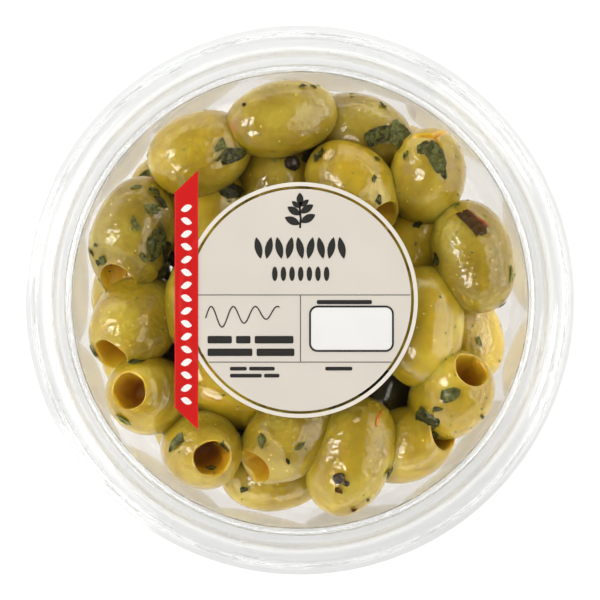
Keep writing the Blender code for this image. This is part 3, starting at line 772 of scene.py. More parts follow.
def settle(rows):
    """Moves the olives apart until they only touch, inside the tub and under the lid.

    It repeats the CAD's settling, so that each fine olive lies on its solid. Each olive is
    taken as three balls on its axis.
    """
    centres = np.array([row[1:4] for row in rows], float)
    homes = centres.copy()
    axes = np.array([axis_of(row[6], row[7]) for row in rows])
    lengths = np.array([row[4] for row in rows])
    widths = np.array([row[5] for row in rows])
    shown = np.arange(len(rows)) < len(SHOWN_OLIVES)
    balls = np.stack([END_BALL * widths / 2, widths / 2, END_BALL * widths / 2], axis=1)
    reach = lengths / 2 - balls[:, 0]
    offsets = np.stack([-reach, 0 * reach, reach], axis=1)
    own = np.arange(len(rows))
    for _ in range(SETTLING_ROUNDS):
        places = centres[:, None, :] + axes[:, None, :] * offsets[:, :, None]
        gap = places[:, :, None, None, :] - places[None, None, :, :, :]
        distance = np.linalg.norm(gap, axis=4) + 1e-6
        overlap = balls[:, :, None, None] + balls[None, None, :, :] - distance
        overlap = np.clip(overlap, 0.0, None)
        overlap[own, :, own, :] = 0.0
        centres += PUSH * (gap / distance[..., None] * overlap[..., None]).sum(axis=(1, 2, 3))
        centres[:, 2] -= SINKING
        drift = (homes - centres) * (HELD, HELD, HELD_UP)
        centres += drift * np.where(shown, 1.0, 0.0)[:, None]
        places = centres[:, None, :] + axes[:, None, :] * offsets[:, :, None]
        spread = np.linalg.norm(places[:, :, :2], axis=2)
        beyond = spread - (wall_radius(places[:, :, 2]) - WALL_CLEARANCE - balls)
        worst = beyond.argmax(axis=1)
        outward = places[own, worst, :2] / (spread[own, worst, None] + 1e-6)
        centres[:, :2] -= outward * np.clip(beyond[own, worst, None], 0.0, None)
        lowest = (places[:, :, 2] - balls).min(axis=1) - FLOOR_INSIDE - CLEARANCE
        highest = (places[:, :, 2] + balls).max(axis=1) - HEAP_TOP
        centres[:, 2] -= np.clip(lowest, None, 0.0) + np.clip(highest, 0.0, None)
    return centres, axes, lengths, widths


def olive_outline(length, width, pitted, rings):
    """Points along one side, as (along, radius, depth in the pit), stem end first."""
    end = math.pi
    inside = 13 if pitted else 0
    if pitted:
        end = math.pi - math.asin((2 * (PIT_RADIUS + PIT_LIP) / width) ** (1 / FULLNESS))
    outer = rings - inside
    points = []
    for ring in range(1, outer + (1 if pitted else 0)):
        t = end * ring / outer
        points.append((-length / 2 * math.cos(t), width / 2 * math.sin(t) ** FULLNESS, 0.0))
    if pitted:
        mouth, radius = points[-1][:2]
        lip = ((0.1, -0.15, 0.0), (0.06, -0.33, 0.01), (-0.12, -0.49, 0.04), (-0.55, -0.6, 0.1))
        points += [(mouth + a, radius + r, hole) for a, r, hole in lip]
        for step in range(1, 9):
            share = step / 8
            inner = PIT_RADIUS - 0.15 + (PIT_INNER_RADIUS - 0.8 - PIT_RADIUS) * share**1.5
            points.append((mouth - 0.55 - PIT_DEPTH * share, inner, 0.1 + 0.8 * share))
    return points


def olive_points(row, centre, axis, length, width, sides, rings, lump):
    """Points, faces and attributes of one olive, in metres."""
    name, kind = row[0], row[8]
    chance = random.Random(name)
    outline = olive_outline(length, width, kind == "pit", rings)
    along = np.array([p[0] for p in outline])[:, None]
    radius = np.array([p[1] for p in outline])[:, None]
    hole = np.array([p[2] for p in outline])[:, None] * np.ones((1, sides))
    turn = np.arange(sides)[None, :] * math.tau / sides
    oval, third = chance.uniform(0.006, 0.02), chance.uniform(0.003, 0.01)
    first, second = chance.uniform(0, math.tau), chance.uniform(0, math.tau)
    swell = 1.0 + oval * np.cos(2 * (turn - first)) + third * np.cos(3 * (turn - second))
    mouth = 1.0 + 0.05 * np.cos(2 * turn + first) + 0.03 * np.cos(5 * turn + second)
    near_pit = np.clip(hole * 20, 0, 1)
    reach = radius * (swell * (1 - near_pit) + mouth * near_pit)
    level = along * np.ones((1, sides))
    if kind == "pit":
        near_end = np.clip((level - (along[-9, 0] - 2.0)) / 2.0, 0, 1)
        level = level + 0.25 * near_end * np.cos(2 * turn + second)
    spin = Vector((0.0, 0.0, 1.0)).rotation_difference(Vector(axis)).to_matrix()
    skyward = Vector((spin[2][0], spin[2][1])).normalized()
    if name in SLANT:
        height = reach * (np.cos(turn) * skyward.x + np.sin(turn) * skyward.y)
        share = np.clip((level - (along.max() - 8.0)) / 8.0, 0, 1)
        share = np.where(hole > 0.02, 1.0, share * share * (3 - 2 * share))
        level = level - SLANT[name] * (height + PIT_RADIUS) * share
    stem = np.exp(-((reach / 1.0) ** 2)) * (level < 0)
    strength = 1.0 if name in SCARRED else chance.uniform(0.1, 0.45)
    level = level + 0.7 * stem * strength
    off, spread = (SCAR_SHIFT, SCAR_RADIUS) if name in SCARRED else (0.0, 1.1)
    from_scar = np.hypot(reach * np.cos(turn) - off * skyward.x, reach * np.sin(turn) - off * skyward.y)
    scar = np.exp(-((from_scar / spread) ** 4)) * (level < 0) * strength
    if kind == "star":
        cut = np.zeros_like(level)
        for ray in range(3):
            off = turn - first - ray * math.tau / 3
            line = np.exp(-((reach * np.sin(off) / 0.42) ** 2)) * (np.cos(off) > 0)
            cut = np.maximum(cut, line)
        cut *= np.clip((4.6 - reach) / 2.0, 0, 1) * (level > 0)
        level = level - 1.5 * cut
        hole = np.maximum(hole, 0.55 * cut)
    bend = chance.uniform(-0.35, 0.35) * (level * 2 / length) ** 2 * (1 - hole)
    x = reach * np.cos(turn) + bend
    y = reach * np.sin(turn)
    points = np.stack([x, y, level], axis=2).reshape(-1, 3)
    shift = Vector((chance.uniform(0, 90), chance.uniform(0, 90), chance.uniform(0, 90)))
    swelling = np.array(
        [
            noise.noise(Vector(p) / 6.5 + shift) + 0.35 * noise.noise(Vector(p) / 2.4 + shift)
            for p in points
        ]
    )
    if name in SCARRED:
        cracks = np.array([noise.noise(Vector(p) * 1.3 + shift) for p in points])
        scar = scar * np.clip(0.8 + 1.6 * cracks.reshape(scar.shape), 0.2, 1)
    calm = 1.0 - 0.6 * np.clip(hole.reshape(-1) * 10, 0, 1)
    flat = np.stack([points[:, 0], points[:, 1], points[:, 2] * 0.5], axis=1)
    outward = flat / (np.linalg.norm(flat, axis=1)[:, None] + 1e-6)
    points += outward * (swelling * calm * lump / MM)[:, None]
    ends = [(-length / 2 + 0.7 * strength, 0.0), (length / 2, 0.0)]
    if kind == "pit":
        ends[1] = (outline[-1][0] - 0.8, 1.0)
    if kind == "star":
        ends[1] = (length / 2 - 1.6, 0.6)
    bend_end = bend.reshape(len(outline), -1)
    poles = np.array([[bend_end[0].mean(), 0.0, ends[0][0]], [bend_end[-1].mean(), 0.0, ends[1][0]]])
    points = np.concatenate([points, poles])
    hole = np.append(hole.reshape(-1), [0.0, ends[1][1]])
    scar = np.append(scar.reshape(-1), [strength, 0.0])
    points = points @ np.array(spin).T + np.array(centre)
    rows_of = np.arange(len(outline) * sides).reshape(len(outline), sides)
    ahead = np.roll(rows_of, -1, axis=1)
    quads = np.stack([rows_of[:-1], ahead[:-1], ahead[1:], rows_of[1:]], axis=2).reshape(-1, 4)
    first_pole, last_pole = len(outline) * sides, len(outline) * sides + 1
    faces = quads.tolist()
    faces += [[first_pole, b, a] for a, b in zip(rows_of[0].tolist(), ahead[0].tolist())]
    faces += [[last_pole, a, b] for a, b in zip(rows_of[-1].tolist(), ahead[-1].tolist())]
    # Painted shade: the tone darkens the flesh low in the heap and away from the wall, on top of each
    # olive's own brightness
    low = np.clip((SHADE_PAINTED_BELOW - points[:, 2]) / SHADE_PAINTED_OVER, 0, 1)
    inner = np.clip((WALL_FOOT[0] - 3.0 - np.hypot(points[:, 0], points[:, 1])) / 6.0, 0, 1)
    paleness_and_painted_light = PALENESS_AND_PAINTED_LIGHT.get(name, chance.uniform(0.85, 1.12))
    tone = paleness_and_painted_light * (1.0 - SHADE_PAINTED_SHARE * low * inner)
    skin = np.full(len(points), SKIN.get(name, chance.uniform(0.25, 0.75)))
    return points * MM, faces, hole, scar, tone, skin


def olive_group(name, rows, placed, sides, rings, lump, finish):
    """One object of several olives."""
    points, faces = [], []
    stored = {"hole": [], "scar": [], "tone": [], "skin": []}
    count = 0
    for row, centre, axis, length, width in placed:
        if row not in rows:
            continue
        made = olive_points(row, centre, axis, length, width, sides, rings, lump)
        faces += [[index + count for index in face] for face in made[1]]
        count += len(made[0])
        points.append(made[0])
        for values, part in zip(stored.values(), made[2:]):
            values.append(part)
    thing = mesh_object(name, np.concatenate(points).tolist(), faces, finish)
    for attribute, values in stored.items():
        store(thing, attribute, np.concatenate(values))
    return thing


def surface_tree(*names):
    """One search tree over the faces of several objects."""
    points, faces = [], []
    for name in names:
        thing = bpy.data.objects.get(name)
        if thing is None:
            raise RuntimeError(f"{name} is made first")
        count = len(points)
        points += [vert.co.copy() for vert in thing.data.vertices]
        faces += [tuple(index + count for index in face.vertices) for face in thing.data.polygons]
    return BVHTree.FromPolygons(points, faces)


def surface_under(tree, x, y):
    """Point and upward normal of the olives straight below a plan position."""
    start = Vector((x * MM, y * MM, 39.0 * MM))
    point, normal, _, _ = tree.ray_cast(start, Vector((0.0, 0.0, -1.0)))
    if point is None:
        raise ValueError(f"no olive under {x}, {y}")
    return point, normal


def leaf_outline(chance, corners):
    """Cut outline of a piece of leaf, as LEAF_ROUND points in a unit box."""
    angles = [(k + chance.uniform(-0.28, 0.28)) * math.tau / corners for k in range(corners)]
    tips = [Vector((math.cos(a), math.sin(a))) * chance.uniform(0.34, 0.58) for a in angles]
    bows = [chance.uniform(-0.8, 1.6) for _ in range(corners)]
    points = []
    for index in range(LEAF_ROUND):
        place = index * corners / LEAF_ROUND
        here = int(place)
        share = place - here
        a, b = tips[here % corners], tips[(here + 1) % corners]
        nick = 0.1 * chance.uniform(-1.0, 1.0) * math.sin(math.pi * share)
        bulge = 1.0 + 0.1 * math.sin(math.pi * share) * bows[here % corners] + nick
        points.append(a.lerp(b, share) * bulge)
    return points


def lying(up, direction):
    """The ways along and across a bit that lies flat on a surface and points in a direction."""
    heading = Vector((*axis_of(direction, 0)[:2], 0.0))
    along = (heading - up * heading.dot(up)).normalized()
    return along, up.cross(along)


def draped(tree, place, along, across, up, a, b):
    """Point of the surface below a place beside the leaf's middle, or the flat place itself."""
    flat = place + along * (a * MM) + across * (b * MM)
    hit = tree.ray_cast(flat + up * (4.0 * MM), -up, 7.0 * MM)
    fallen = flat - up * (0.06 * (a * a + b * b) * MM)
    if hit[0] is None:
        return fallen
    above = (hit[0] - fallen).dot(up) / MM
    return fallen + up * (min(0.35, max(-0.7, above)) * MM)


def leaf_piece(tree, row, seed, edged=False):
    """Points, faces and tone of one thin curled piece of leaf that lies on the olives.

    The tone of an edged piece is 1 along one long side and 0 elsewhere.
    """
    x, y, length, width, direction, corners, curl, tone = row
    chance = random.Random(seed)
    place, normal = surface_under(tree, x, y)
    up = (normal.normalized() * 0.6 + Vector((0.0, 0.0, 0.4))).normalized()
    along, across = lying(up, direction)
    outline = leaf_outline(chance, corners)
    fold = chance.uniform(-0.5, 0.5)
    shift = chance.uniform(0.0, 50.0)
    layers = ([], [])
    tones = []
    for ring, share in enumerate(LEAF_RINGS):
        for index in range(1 if ring == 0 else LEAF_ROUND):
            flat = outline[index] * share
            a, b = flat.x * length, flat.y * width
            base = draped(tree, place, along, across, up, a, b)
            wave = noise.noise(Vector((a * 0.8 + shift, b * 0.8, shift)))
            rise = 0.1 + 1.5 * curl * share**2 * (0.3 + 0.7 * wave) + abs(flat.y - fold) * 0.25 * curl
            rise += 0.16 * noise.noise(Vector((a * 1.9, b * 1.9, shift)))
            rise = max(0.04, rise)
            for layer, lift in zip(layers, (rise + LEAF_THICKNESS, rise)):
                layer.append(base + up * (lift * MM))
            tones.append(min(1.0, max(0.0, (flat.y - 0.26) / 0.12)) if edged else tone)
    count = len(layers[0])
    faces = []
    for index in range(LEAF_ROUND):
        after = (index + 1) % LEAF_ROUND
        faces.append((0, 1 + index, 1 + after))
        faces.append((count, count + 1 + after, count + 1 + index))
        for ring in range(len(LEAF_RINGS) - 2):
            a, b = 1 + ring * LEAF_ROUND, 1 + (ring + 1) * LEAF_ROUND
            faces.append((a + index, b + index, b + after, a + after))
            faces.append((count + a + index, count + a + after, count + b + after, count + b + index))
        rim = 1 + (len(LEAF_RINGS) - 2) * LEAF_ROUND
        faces.append((rim + index, count + rim + index, count + rim + after, rim + after))
    return layers[0] + layers[1], faces, tones * 2


def joined(name, pieces, finish):
    """One object from several sets of points, faces and tones."""
    points, faces, tones = [], [], []
    for piece_points, piece_faces, piece_tones in pieces:
        count = len(points)
        points += [tuple(point) for point in piece_points]
        faces += [tuple(index + count for index in face) for face in piece_faces]
        tones += piece_tones
    thing = mesh_object(name, points, faces, finish)
    store(thing, "tone", tones)
    return thing


def lump_piece(tree, x, y, length, width, direction, seed, lift, rough):
    """Points and faces of one uneven solid bit that sits on the olives."""
    chance = random.Random(seed)
    place, normal = surface_under(tree, x, y)
    up = normal.normalized()
    along, across = lying(up, direction)
    shift = Vector((chance.uniform(0, 50), chance.uniform(0, 50), 0.0))
    height = min(length, width) * 0.42
    bm = bmesh.new()
    bmesh.ops.create_icosphere(bm, subdivisions=3, radius=1.0)
    points = []
    for vert in bm.verts:
        bulge = 1.0 + rough * noise.noise(vert.co * 2.6 + shift)
        a, b, c = (vert.co * bulge)[:]
        flat = along * (a * length / 2) + across * (b * width / 2) + up * (c * height)
        points.append(place + flat * MM + up * (lift * min(length, width) * MM))
    faces = [tuple(vert.index for vert in face.verts) for face in bm.faces]
    bm.free()
    return points, faces, [0.5] * len(points)


def thread_piece(tree, x, y, length, width, direction):
    """A curved thread of saffron-coloured spice, closed at both ends."""
    place, normal = surface_under(tree, x, y)
    up = normal.normalized()
    along, across = lying(up, direction)
    points, faces = [], []
    steps, sides = 14, 10
    for step in range(steps + 1):
        share = step / steps
        a = (share - 0.5) * length
        b = 0.35 * math.sin(share * math.pi * 1.4)
        middle = draped(tree, place, along, across, up, a, b)
        thick = width / 2 * (0.25 + 0.75 * math.sin(math.pi * (0.12 + 0.76 * share)))
        for side in range(sides):
            turn = side * math.tau / sides
            off = across * (math.cos(turn) * thick) + up * (math.sin(turn) * thick * 0.8 + 0.22)
            points.append(middle + off * MM)
    for step in range(steps):
        for side in range(sides):
            a, b = step * sides + side, step * sides + (side + 1) % sides
            faces.append((a, b, b + sides, a + sides))
    faces.append(tuple(reversed(range(sides))))
    faces.append(tuple(range(steps * sides, (steps + 1) * sides)))
    return points, faces, [0.5] * len(points)


def plate(bm, outline, low, high):
    """Adds a thin plate over a plan outline in millimetres."""
    verts = [bm.verts.new((x * MM, y * MM, low * MM)) for x, y in outline]
    face = bm.faces.new(verts)
    grown_part = bmesh.ops.extrude_face_region(bm, geom=[face])
    risen = [item for item in grown_part["geom"] if isinstance(item, bmesh.types.BMVert)]
    bmesh.ops.translate(bm, verts=risen, vec=(0.0, 0.0, (high - low) * MM))


def annulus(bm, inner, outer, low, high, steps):
    """Adds a flat ring between two radii in millimetres."""
    rings = []
    for radius, level in ((inner, low), (outer, low), (outer, high), (inner, high)):
        turns = [math.tau * step / steps for step in range(steps)]
        rings.append(
            [
                bm.verts.new((radius * math.cos(t) * MM, radius * math.sin(t) * MM, level * MM))
                for t in turns
            ]
        )
    for ring, after in zip(rings, rings[1:] + rings[:1]):
        for step in range(steps):
            on = (step + 1) % steps
            bm.faces.new((ring[step], ring[on], after[on], after[step]))


def circle_outline(radius, steps):
    return [
        (radius * math.cos(math.tau * s / steps), radius * math.sin(math.tau * s / steps))
        for s in range(steps)
    ]


def bar_outline(left, bottom, right, top, corner, steps=5):
    """A rectangle with round corners."""
    corner = min(corner, (right - left) / 2 - 0.001, (top - bottom) / 2 - 0.001)
    points = []
    middles = (
        (right - corner, top - corner, 0.0), (left + corner, top - corner, 90.0),
        (left + corner, bottom + corner, 180.0), (right - corner, bottom + corner, 270.0),
    )
    for x, y, first in middles:
        for step in range(steps + 1):
            angle = math.radians(first + 90.0 * step / steps)
            points.append((x + corner * math.cos(angle), y + corner * math.sin(angle)))
    return points


def leaf_shape(x, y, length, width, direction, steps=10):
    """A pointed oval that starts at its stem."""
    way, side = math.radians(direction), math.radians(direction + 90)
    points = []
    for step in range(2 * steps):
        share = step / steps if step <= steps else 2 - step / steps
        half = width / 2 * math.sin(math.pi * share) ** 0.8 * (1 if step <= steps else -1)
        along = share * length
        points.append(
            (
                x + along * math.cos(way) + half * math.cos(side),
                y + along * math.sin(way) + half * math.sin(side),
            )
        )
    return points


def stroke_outline(path, width):
    """A band of even width along a path of plan points."""
    left, right = [], []
    for index, point in enumerate(path):
        before, after = path[max(index - 1, 0)], path[min(index + 1, len(path) - 1)]
        way = Vector((after[0] - before[0], after[1] - before[1])).normalized()
        side = Vector((-way.y, way.x)) * width / 2
        left.append((point[0] + side.x, point[1] + side.y))
        right.append((point[0] - side.x, point[1] - side.y))
    return left + right[::-1]


def label_print(bm, low, high):
    """Plain dark print: a sprig, rows of leaves and dots, a wave, bars and dividing lines."""
    sprig = [(0.0, 15.4), (0.15, 17.5), (-0.05, 19.6), (0.1, 21.0)]
    plate(bm, stroke_outline(sprig, 0.45), low, high)
    for x, y, length, width, way in (
        (0.0, 16.2, 3.6, 1.7, 155), (0.1, 16.6, 3.6, 1.7, 28), (0.1, 18.2, 3.3, 1.6, 148),
        (0.0, 18.6, 3.4, 1.6, 32), (0.05, 20.2, 2.8, 1.5, 92), (0.0, 19.7, 2.3, 1.1, 140),
        (0.1, 20.0, 2.3, 1.1, 40),
    ):
        plate(bm, leaf_shape(x, y, length, width, way), low, high)
    for index in range(9):
        lean = 78 if index % 2 else 102
        foot = -8.9 + index * 2.23 - 2.4 * math.cos(math.radians(lean))
        plate(bm, leaf_shape(foot, 8.8, 4.8, 1.6, lean), low, high)
    for index in range(7):
        x = -5.4 + index * 1.85
        plate(bm, [(x + a * 0.6, 5.6 + b * 1.55) for a, b in circle_outline(1.0, 20)], low, high)
    wave = [
        (-20.2 + 15.8 * t, -3.9 + 2.5 * math.sin(t * 21.0) * (1 - 0.55 * t) + 1.4 * t)
        for t in [step / 120 for step in range(121)]
    ]
    plate(bm, stroke_outline(wave, 0.28), low, high)
    rows = (
        (-9.3, -7.7, ((-19.8, -14.6), (-13.7, -10.6), (-9.7, -1.4))),
        (-12.0, -10.4, ((-19.8, -10.2), (-9.3, -1.2))), (-15.1, -14.3, ((-15.0, -11.4), (-10.9, -5.4))),
        (-16.6, -15.8, ((-15.0, -8.2), (-7.7, -4.4))), (-15.1, -14.3, ((5.4, 11.2),)),
        (-0.9, -0.0, ((3.6, 15.4),)),
    )
    for bottom, top, spans in rows:
        for left, right in spans:
            plate(bm, bar_outline(left, bottom, right, top, 0.3), low, high)
    for line in ((-23.6, 1.0, 23.6, 1.16), (0.02, -13.2, 0.18, 0.98), (-19.6, -13.38, 19.6, -13.22)):
        plate(bm, bar_outline(*line, 0.02), low, high)


def strip_level(x, y):
    """Height of the strip's underside: on the label, then down on the lid beyond it."""
    share = min(max((math.hypot(x, y) - LABEL_RADIUS) / 0.9, 0.0), 1.0)
    share = share * share * (3 - 2 * share)
    return 39.83 - 0.2 * share


def strip_cloth(bm, left, right, bottom, top, lift, thickness, columns, steps):
    """Adds a band that follows the strip's height; bottom and top are functions of X."""
    layers = []
    for level in (lift + thickness, lift):
        layer = []
        for u in range(columns + 1):
            x = left + (right - left) * u / columns
            column = []
            for step in range(steps + 1):
                y = bottom(x) + (top(x) - bottom(x)) * step / steps
                column.append(bm.verts.new((x * MM, y * MM, (strip_level(x, y) + level) * MM)))
            layer.append(column)
        layers.append(layer)
    upper, lower = layers
    for u in range(columns):
        a, b, c, d = upper[u], upper[u + 1], lower[u], lower[u + 1]
        for step in range(steps):
            bm.faces.new((a[step], b[step], b[step + 1], a[step + 1]))
            bm.faces.new((c[step], c[step + 1], d[step + 1], d[step]))
        bm.faces.new((a[0], c[0], d[0], b[0]))
        bm.faces.new((a[-1], b[-1], d[-1], c[-1]))
    for step in range(steps):
        bm.faces.new((upper[0][step], upper[0][step + 1], lower[0][step + 1], lower[0][step]))
        bm.faces.new((upper[-1][step], lower[-1][step], lower[-1][step + 1], upper[-1][step + 1]))


def fleck_tree(finish, base_leaf):
    """Scatters small flecks of leaf over the upper side of the olives."""
    inputs = (("Olives", "Geometry"), ("Density", "Float"), ("Size", "Float"), ("Seed", "Int"))
    tree, given = new_tree("herb_flecks", inputs)
    axes = add(tree, "ShaderNodeSeparateXYZ", {0: add(tree, "GeometryNodeInputNormal")}).outputs
    facing = add(tree, "ShaderNodeMath", {0: axes["Z"], 1: 0.15}, operation="GREATER_THAN")
    place = add(tree, "GeometryNodeInputPosition")
    patch = {"Vector": place, "Scale": per_mm(11.0), "Detail": 1.0}
    clusters = add(tree, "ShaderNodeTexNoise", patch)
    span = {"From Min": 0.42, "From Max": 0.68, "To Max": 2.2}
    share = add(tree, "ShaderNodeMapRange", {"Value": clusters, **span})
    spread = {"Mesh": given["Olives"], "Selection": facing, "Seed": given["Seed"]}
    spread["Density"] = product(tree, given["Density"], (share,))
    points = add(tree, "GeometryNodeDistributePointsOnFaces", spread)
    spin = {"Min": 0.0, "Max": math.tau, "Seed": 3}
    angle = add(tree, "FunctionNodeRandomValue", spin, data_type="FLOAT")
    about = {"Axis": (0.0, 0.0, 1.0), "Angle": angle}
    turns = {"Rotation": points.outputs["Rotation"]}
    turns["Rotate By"] = add(tree, "FunctionNodeAxisAngleToRotation", about)
    turned = add(tree, "FunctionNodeRotateRotation", turns, rotation_space="LOCAL")
    limits = {0: (0.35, 0.25, 0.5), 1: (1.5, 1.0, 1.2), "Seed": 5}
    size = add(tree, "FunctionNodeRandomValue", limits, data_type="FLOAT_VECTOR")
    scale = {0: size, "Scale": given["Size"]}
    sized = add(tree, "ShaderNodeVectorMath", scale, operation="SCALE")
    leaf = add(tree, "GeometryNodeObjectInfo", {"Object": base_leaf}).outputs["Geometry"]
    copies = {"Points": points, "Instance": leaf, "Rotation": turned, "Scale": sized}
    return dressed(tree, add(tree, "GeometryNodeInstanceOnPoints", copies), finish)


def fleck_base(finish):
    """A flat fleck of unit length with six corners and a raised middle."""
    rim = ((-0.5, 0.0), (-0.22, -0.42), (0.2, -0.36), (0.5, 0.06), (0.16, 0.42), (-0.28, 0.34))
    points = [(x, y, 0.12) for x, y in rim] + [(0.0, 0.0, 0.3)]
    points += [(x, y, -0.12) for x, y in rim] + [(0.0, 0.0, -0.12)]
    faces = []
    for index in range(6):
        after = (index + 1) % 6
        faces.append((index, after, 6))
        faces.append((7 + after, 7 + index, 13))
        faces.append((index, 7 + index, 7 + after, after))
    return mesh_object("fleck_base", points, faces, finish)


class OLIVETUB_OT_tub(bpy.types.Operator):
    """Makes the clear tub with its foot ring, sloping wall, step and rolled rim"""

    bl_idname = "olivetub.tub"
    bl_label = "Tub"

    def execute(self, context):
        settings = context.scene.olive_tub
        formed = hex_colour("F7F7F6")
        finish = clear_plastic("thermoformed_pet", settings.tub_colour, formed, 0.16, 0.3, 1.12, 0.5)
        corners = TUB_INSIDE + TUB_RIM + TUB_COLLAR + TUB_OUTSIDE + TUB_UNDER
        profile = rounded(corners, settings.corner / MM)
        thing = swept("tub_shell", profile, settings, finish, 0.0, 0.0)
        belongs(thing, "tub")
        return {"FINISHED"}


class OLIVETUB_OT_lid(bpy.types.Operator):
    """Makes the press-on lid with its panel, gutter, bead, dented skirt and flange"""

    bl_idname = "olivetub.lid"
    bl_label = "Lid"

    def execute(self, context):
        settings = context.scene.olive_tub
        formed = hex_colour("EAEBEB")
        finish = clear_plastic("thermoformed_lid", settings.lid_colour, formed, 0.03, 0.18, 1.15, 0.6)
        edge = [
            tuple(Vector(a).lerp(Vector(b), step / PANEL_EDGE_STEPS))
            for a, b in zip(PANEL_EDGE, PANEL_EDGE[1:])
            for step in range(PANEL_EDGE_STEPS)
        ]
        upper = LID_PANEL[:1] + tuple(edge) + LID_GUTTER + LID_BEAD + LID_FLANGE
        profile = rounded(upper + LID_INSIDE + LID_UNDER, settings.corner / MM)
        thing = swept("lid_shell", profile, settings, finish, settings.dent_depth, settings.pad_height)
        belongs(thing, "lid")
        return {"FINISHED"}


class OLIVETUB_OT_label(bpy.types.Operator):
    """Makes the round film label with its cream disc, ring and plain print"""

    bl_idname = "olivetub.label"
    bl_label = "Label"

    def execute(self, context):
        settings = context.scene.olive_label
        clear = hex_colour("FBFAF8")
        film = clear_plastic("clear_label_film", clear, clear, 0.08, 0.08, 1.12, 0.3)
        paper = printed_film("cream_printed_film", settings.paper, 0.42, 0.94)
        pale = printed_film("pale_printed_film", settings.ring, 0.4, 1.0)
        white = printed_film("white_printed_film", settings.panel, 0.4, 1.0)
        ink = printed_film("dark_print_on_film", settings.ink, 0.45, 1.0)
        ground, low = LABEL_BOTTOM, LABEL_BOTTOM + 0.06
        box = bar_outline(*LABEL_BOX, 1.6, 8)
        parts = (
            ("label_film", film, plate, (circle_outline(LABEL_RADIUS, 128), ground, ground + 0.05)),
            ("label_disc", paper, plate, (circle_outline(DISC_RADIUS, 128), low, low + 0.05)),
            ("label_ring", pale, annulus, (RING_INNER, LABEL_RADIUS, low, low + 0.05, 128)),
            ("label_panel", white, plate, (box, low + 0.055, low + 0.075)),
            ("label_print", ink, label_print, (low + 0.055, low + 0.08)),
            ("label_panel_edge", ink, plate, (stroke_outline(box + box[:2], 0.42), low + 0.08, low + 0.1)),
        )
        for name, finish, shape, sizes in parts:
            bm = bmesh.new()
            shape(bm, *sizes)
            belongs(bmesh_object(name, bm, finish), "label")
        return {"FINISHED"}


class OLIVETUB_OT_strip(bpy.types.Operator):
    """Makes the red strip across the label's left edge, with plain white marks"""

    bl_idname = "olivetub.strip"
    bl_label = "Strip"

    def execute(self, context):
        settings = context.scene.olive_label

        def end(x):
            share = (x - STRIP_LEFT) / (STRIP_RIGHT - STRIP_LEFT)
            return STRIP_SHORT_SIDE + (STRIP_LONG_SIDE - STRIP_SHORT_SIDE) * share

        red = printed_film("red_printed_film", settings.strip, 0.4, 1.0)
        bm = bmesh.new()
        strip_cloth(bm, STRIP_LEFT, STRIP_RIGHT, lambda x: -end(x), end, 0.0, 0.06, 16, 200)
        belongs(bmesh_object("strip_band", bm, red, True), "label_strip")
        white = printed_film("white_print_on_red", settings.marks, 0.42, 1.0)
        bm = bmesh.new()
        left, right = -25.5, -23.15
        for index in range(16):
            foot, lean = -21.6 + 2.75 * index, (0.35 if index % 2 else -0.35)

            def edge(x, side, foot=foot, lean=lean):
                share = (x - left) / (right - left)
                half = 0.02 + 0.72 * math.sin(math.pi * share) ** 0.8
                return foot + lean * (x - (left + right) / 2) + side * half

            under, over = (lambda x, e=edge: e(x, -1)), (lambda x, e=edge: e(x, 1))
            strip_cloth(bm, left, right, under, over, 0.075, 0.02, 14, 3)
        belongs(bmesh_object("strip_marks", bm, white), "label_strip")
        return {"FINISHED"}


class OLIVETUB_OT_olives(bpy.types.Operator):
    """Makes the olives, each on its own solid, and the core between them"""

    bl_idname = "olivetub.olives"
    bl_label = "Olives"

    def execute(self, context):
        settings = context.scene.olive_flesh
        finish = olive_flesh(settings)
        rows = olive_rows()
        placed = list(zip(rows, *settle(rows)))
        upper = rows[: len(SHOWN_OLIVES)]
        lower = rows[len(SHOWN_OLIVES) :]
        sides, rings, lump = settings.sides, settings.rings, settings.lump
        thing = olive_group("olives_upper", upper, placed, sides, rings, lump, finish)
        belongs(thing, "olives")
        thing = olive_group("olives_lower", lower, placed, 48, 44, lump, finish)
        belongs(thing, "olives")
        low, high = CORE_HEIGHTS
        bm = bmesh.new()
        profile = ((0.0, high), (CORE_RADIUS - 8, high), (CORE_RADIUS, (low + high) / 2))
        profile += ((CORE_RADIUS - 6, low), (0.0, low))
        curve = rounded(profile, 6.0, 6)
        verts = [bm.verts.new((p[0] * MM, 0.0, p[1] * MM)) for p in curve]
        edges = [bm.edges.new(pair) for pair in zip(verts, verts[1:])]
        bmesh.ops.spin(
            bm, geom=verts + edges, axis=(0, 0, 1), cent=(0, 0, 0), angle=math.tau, steps=72,
            use_merge=True,
        )
        bmesh.ops.remove_doubles(bm, verts=bm.verts, dist=0.001 * MM)
        for vert in bm.verts:
            vert.co *= 1.0 - 0.05 * (1 + noise.noise(vert.co / (7.0 * MM)))
        # Painted shade: the core's crumbs are coloured near-black brown, far darker than the flesh, for
        # the shade in the gaps between the olives
        crumbs = grained("olive_crumbs_painted_shade", "2A2208", "6B5A18", 1.5, 0.4, 0.8, 0.4)
        belongs(bmesh_object("heap_core", bm, crumbs, True), "olives")
        return {"FINISHED"}


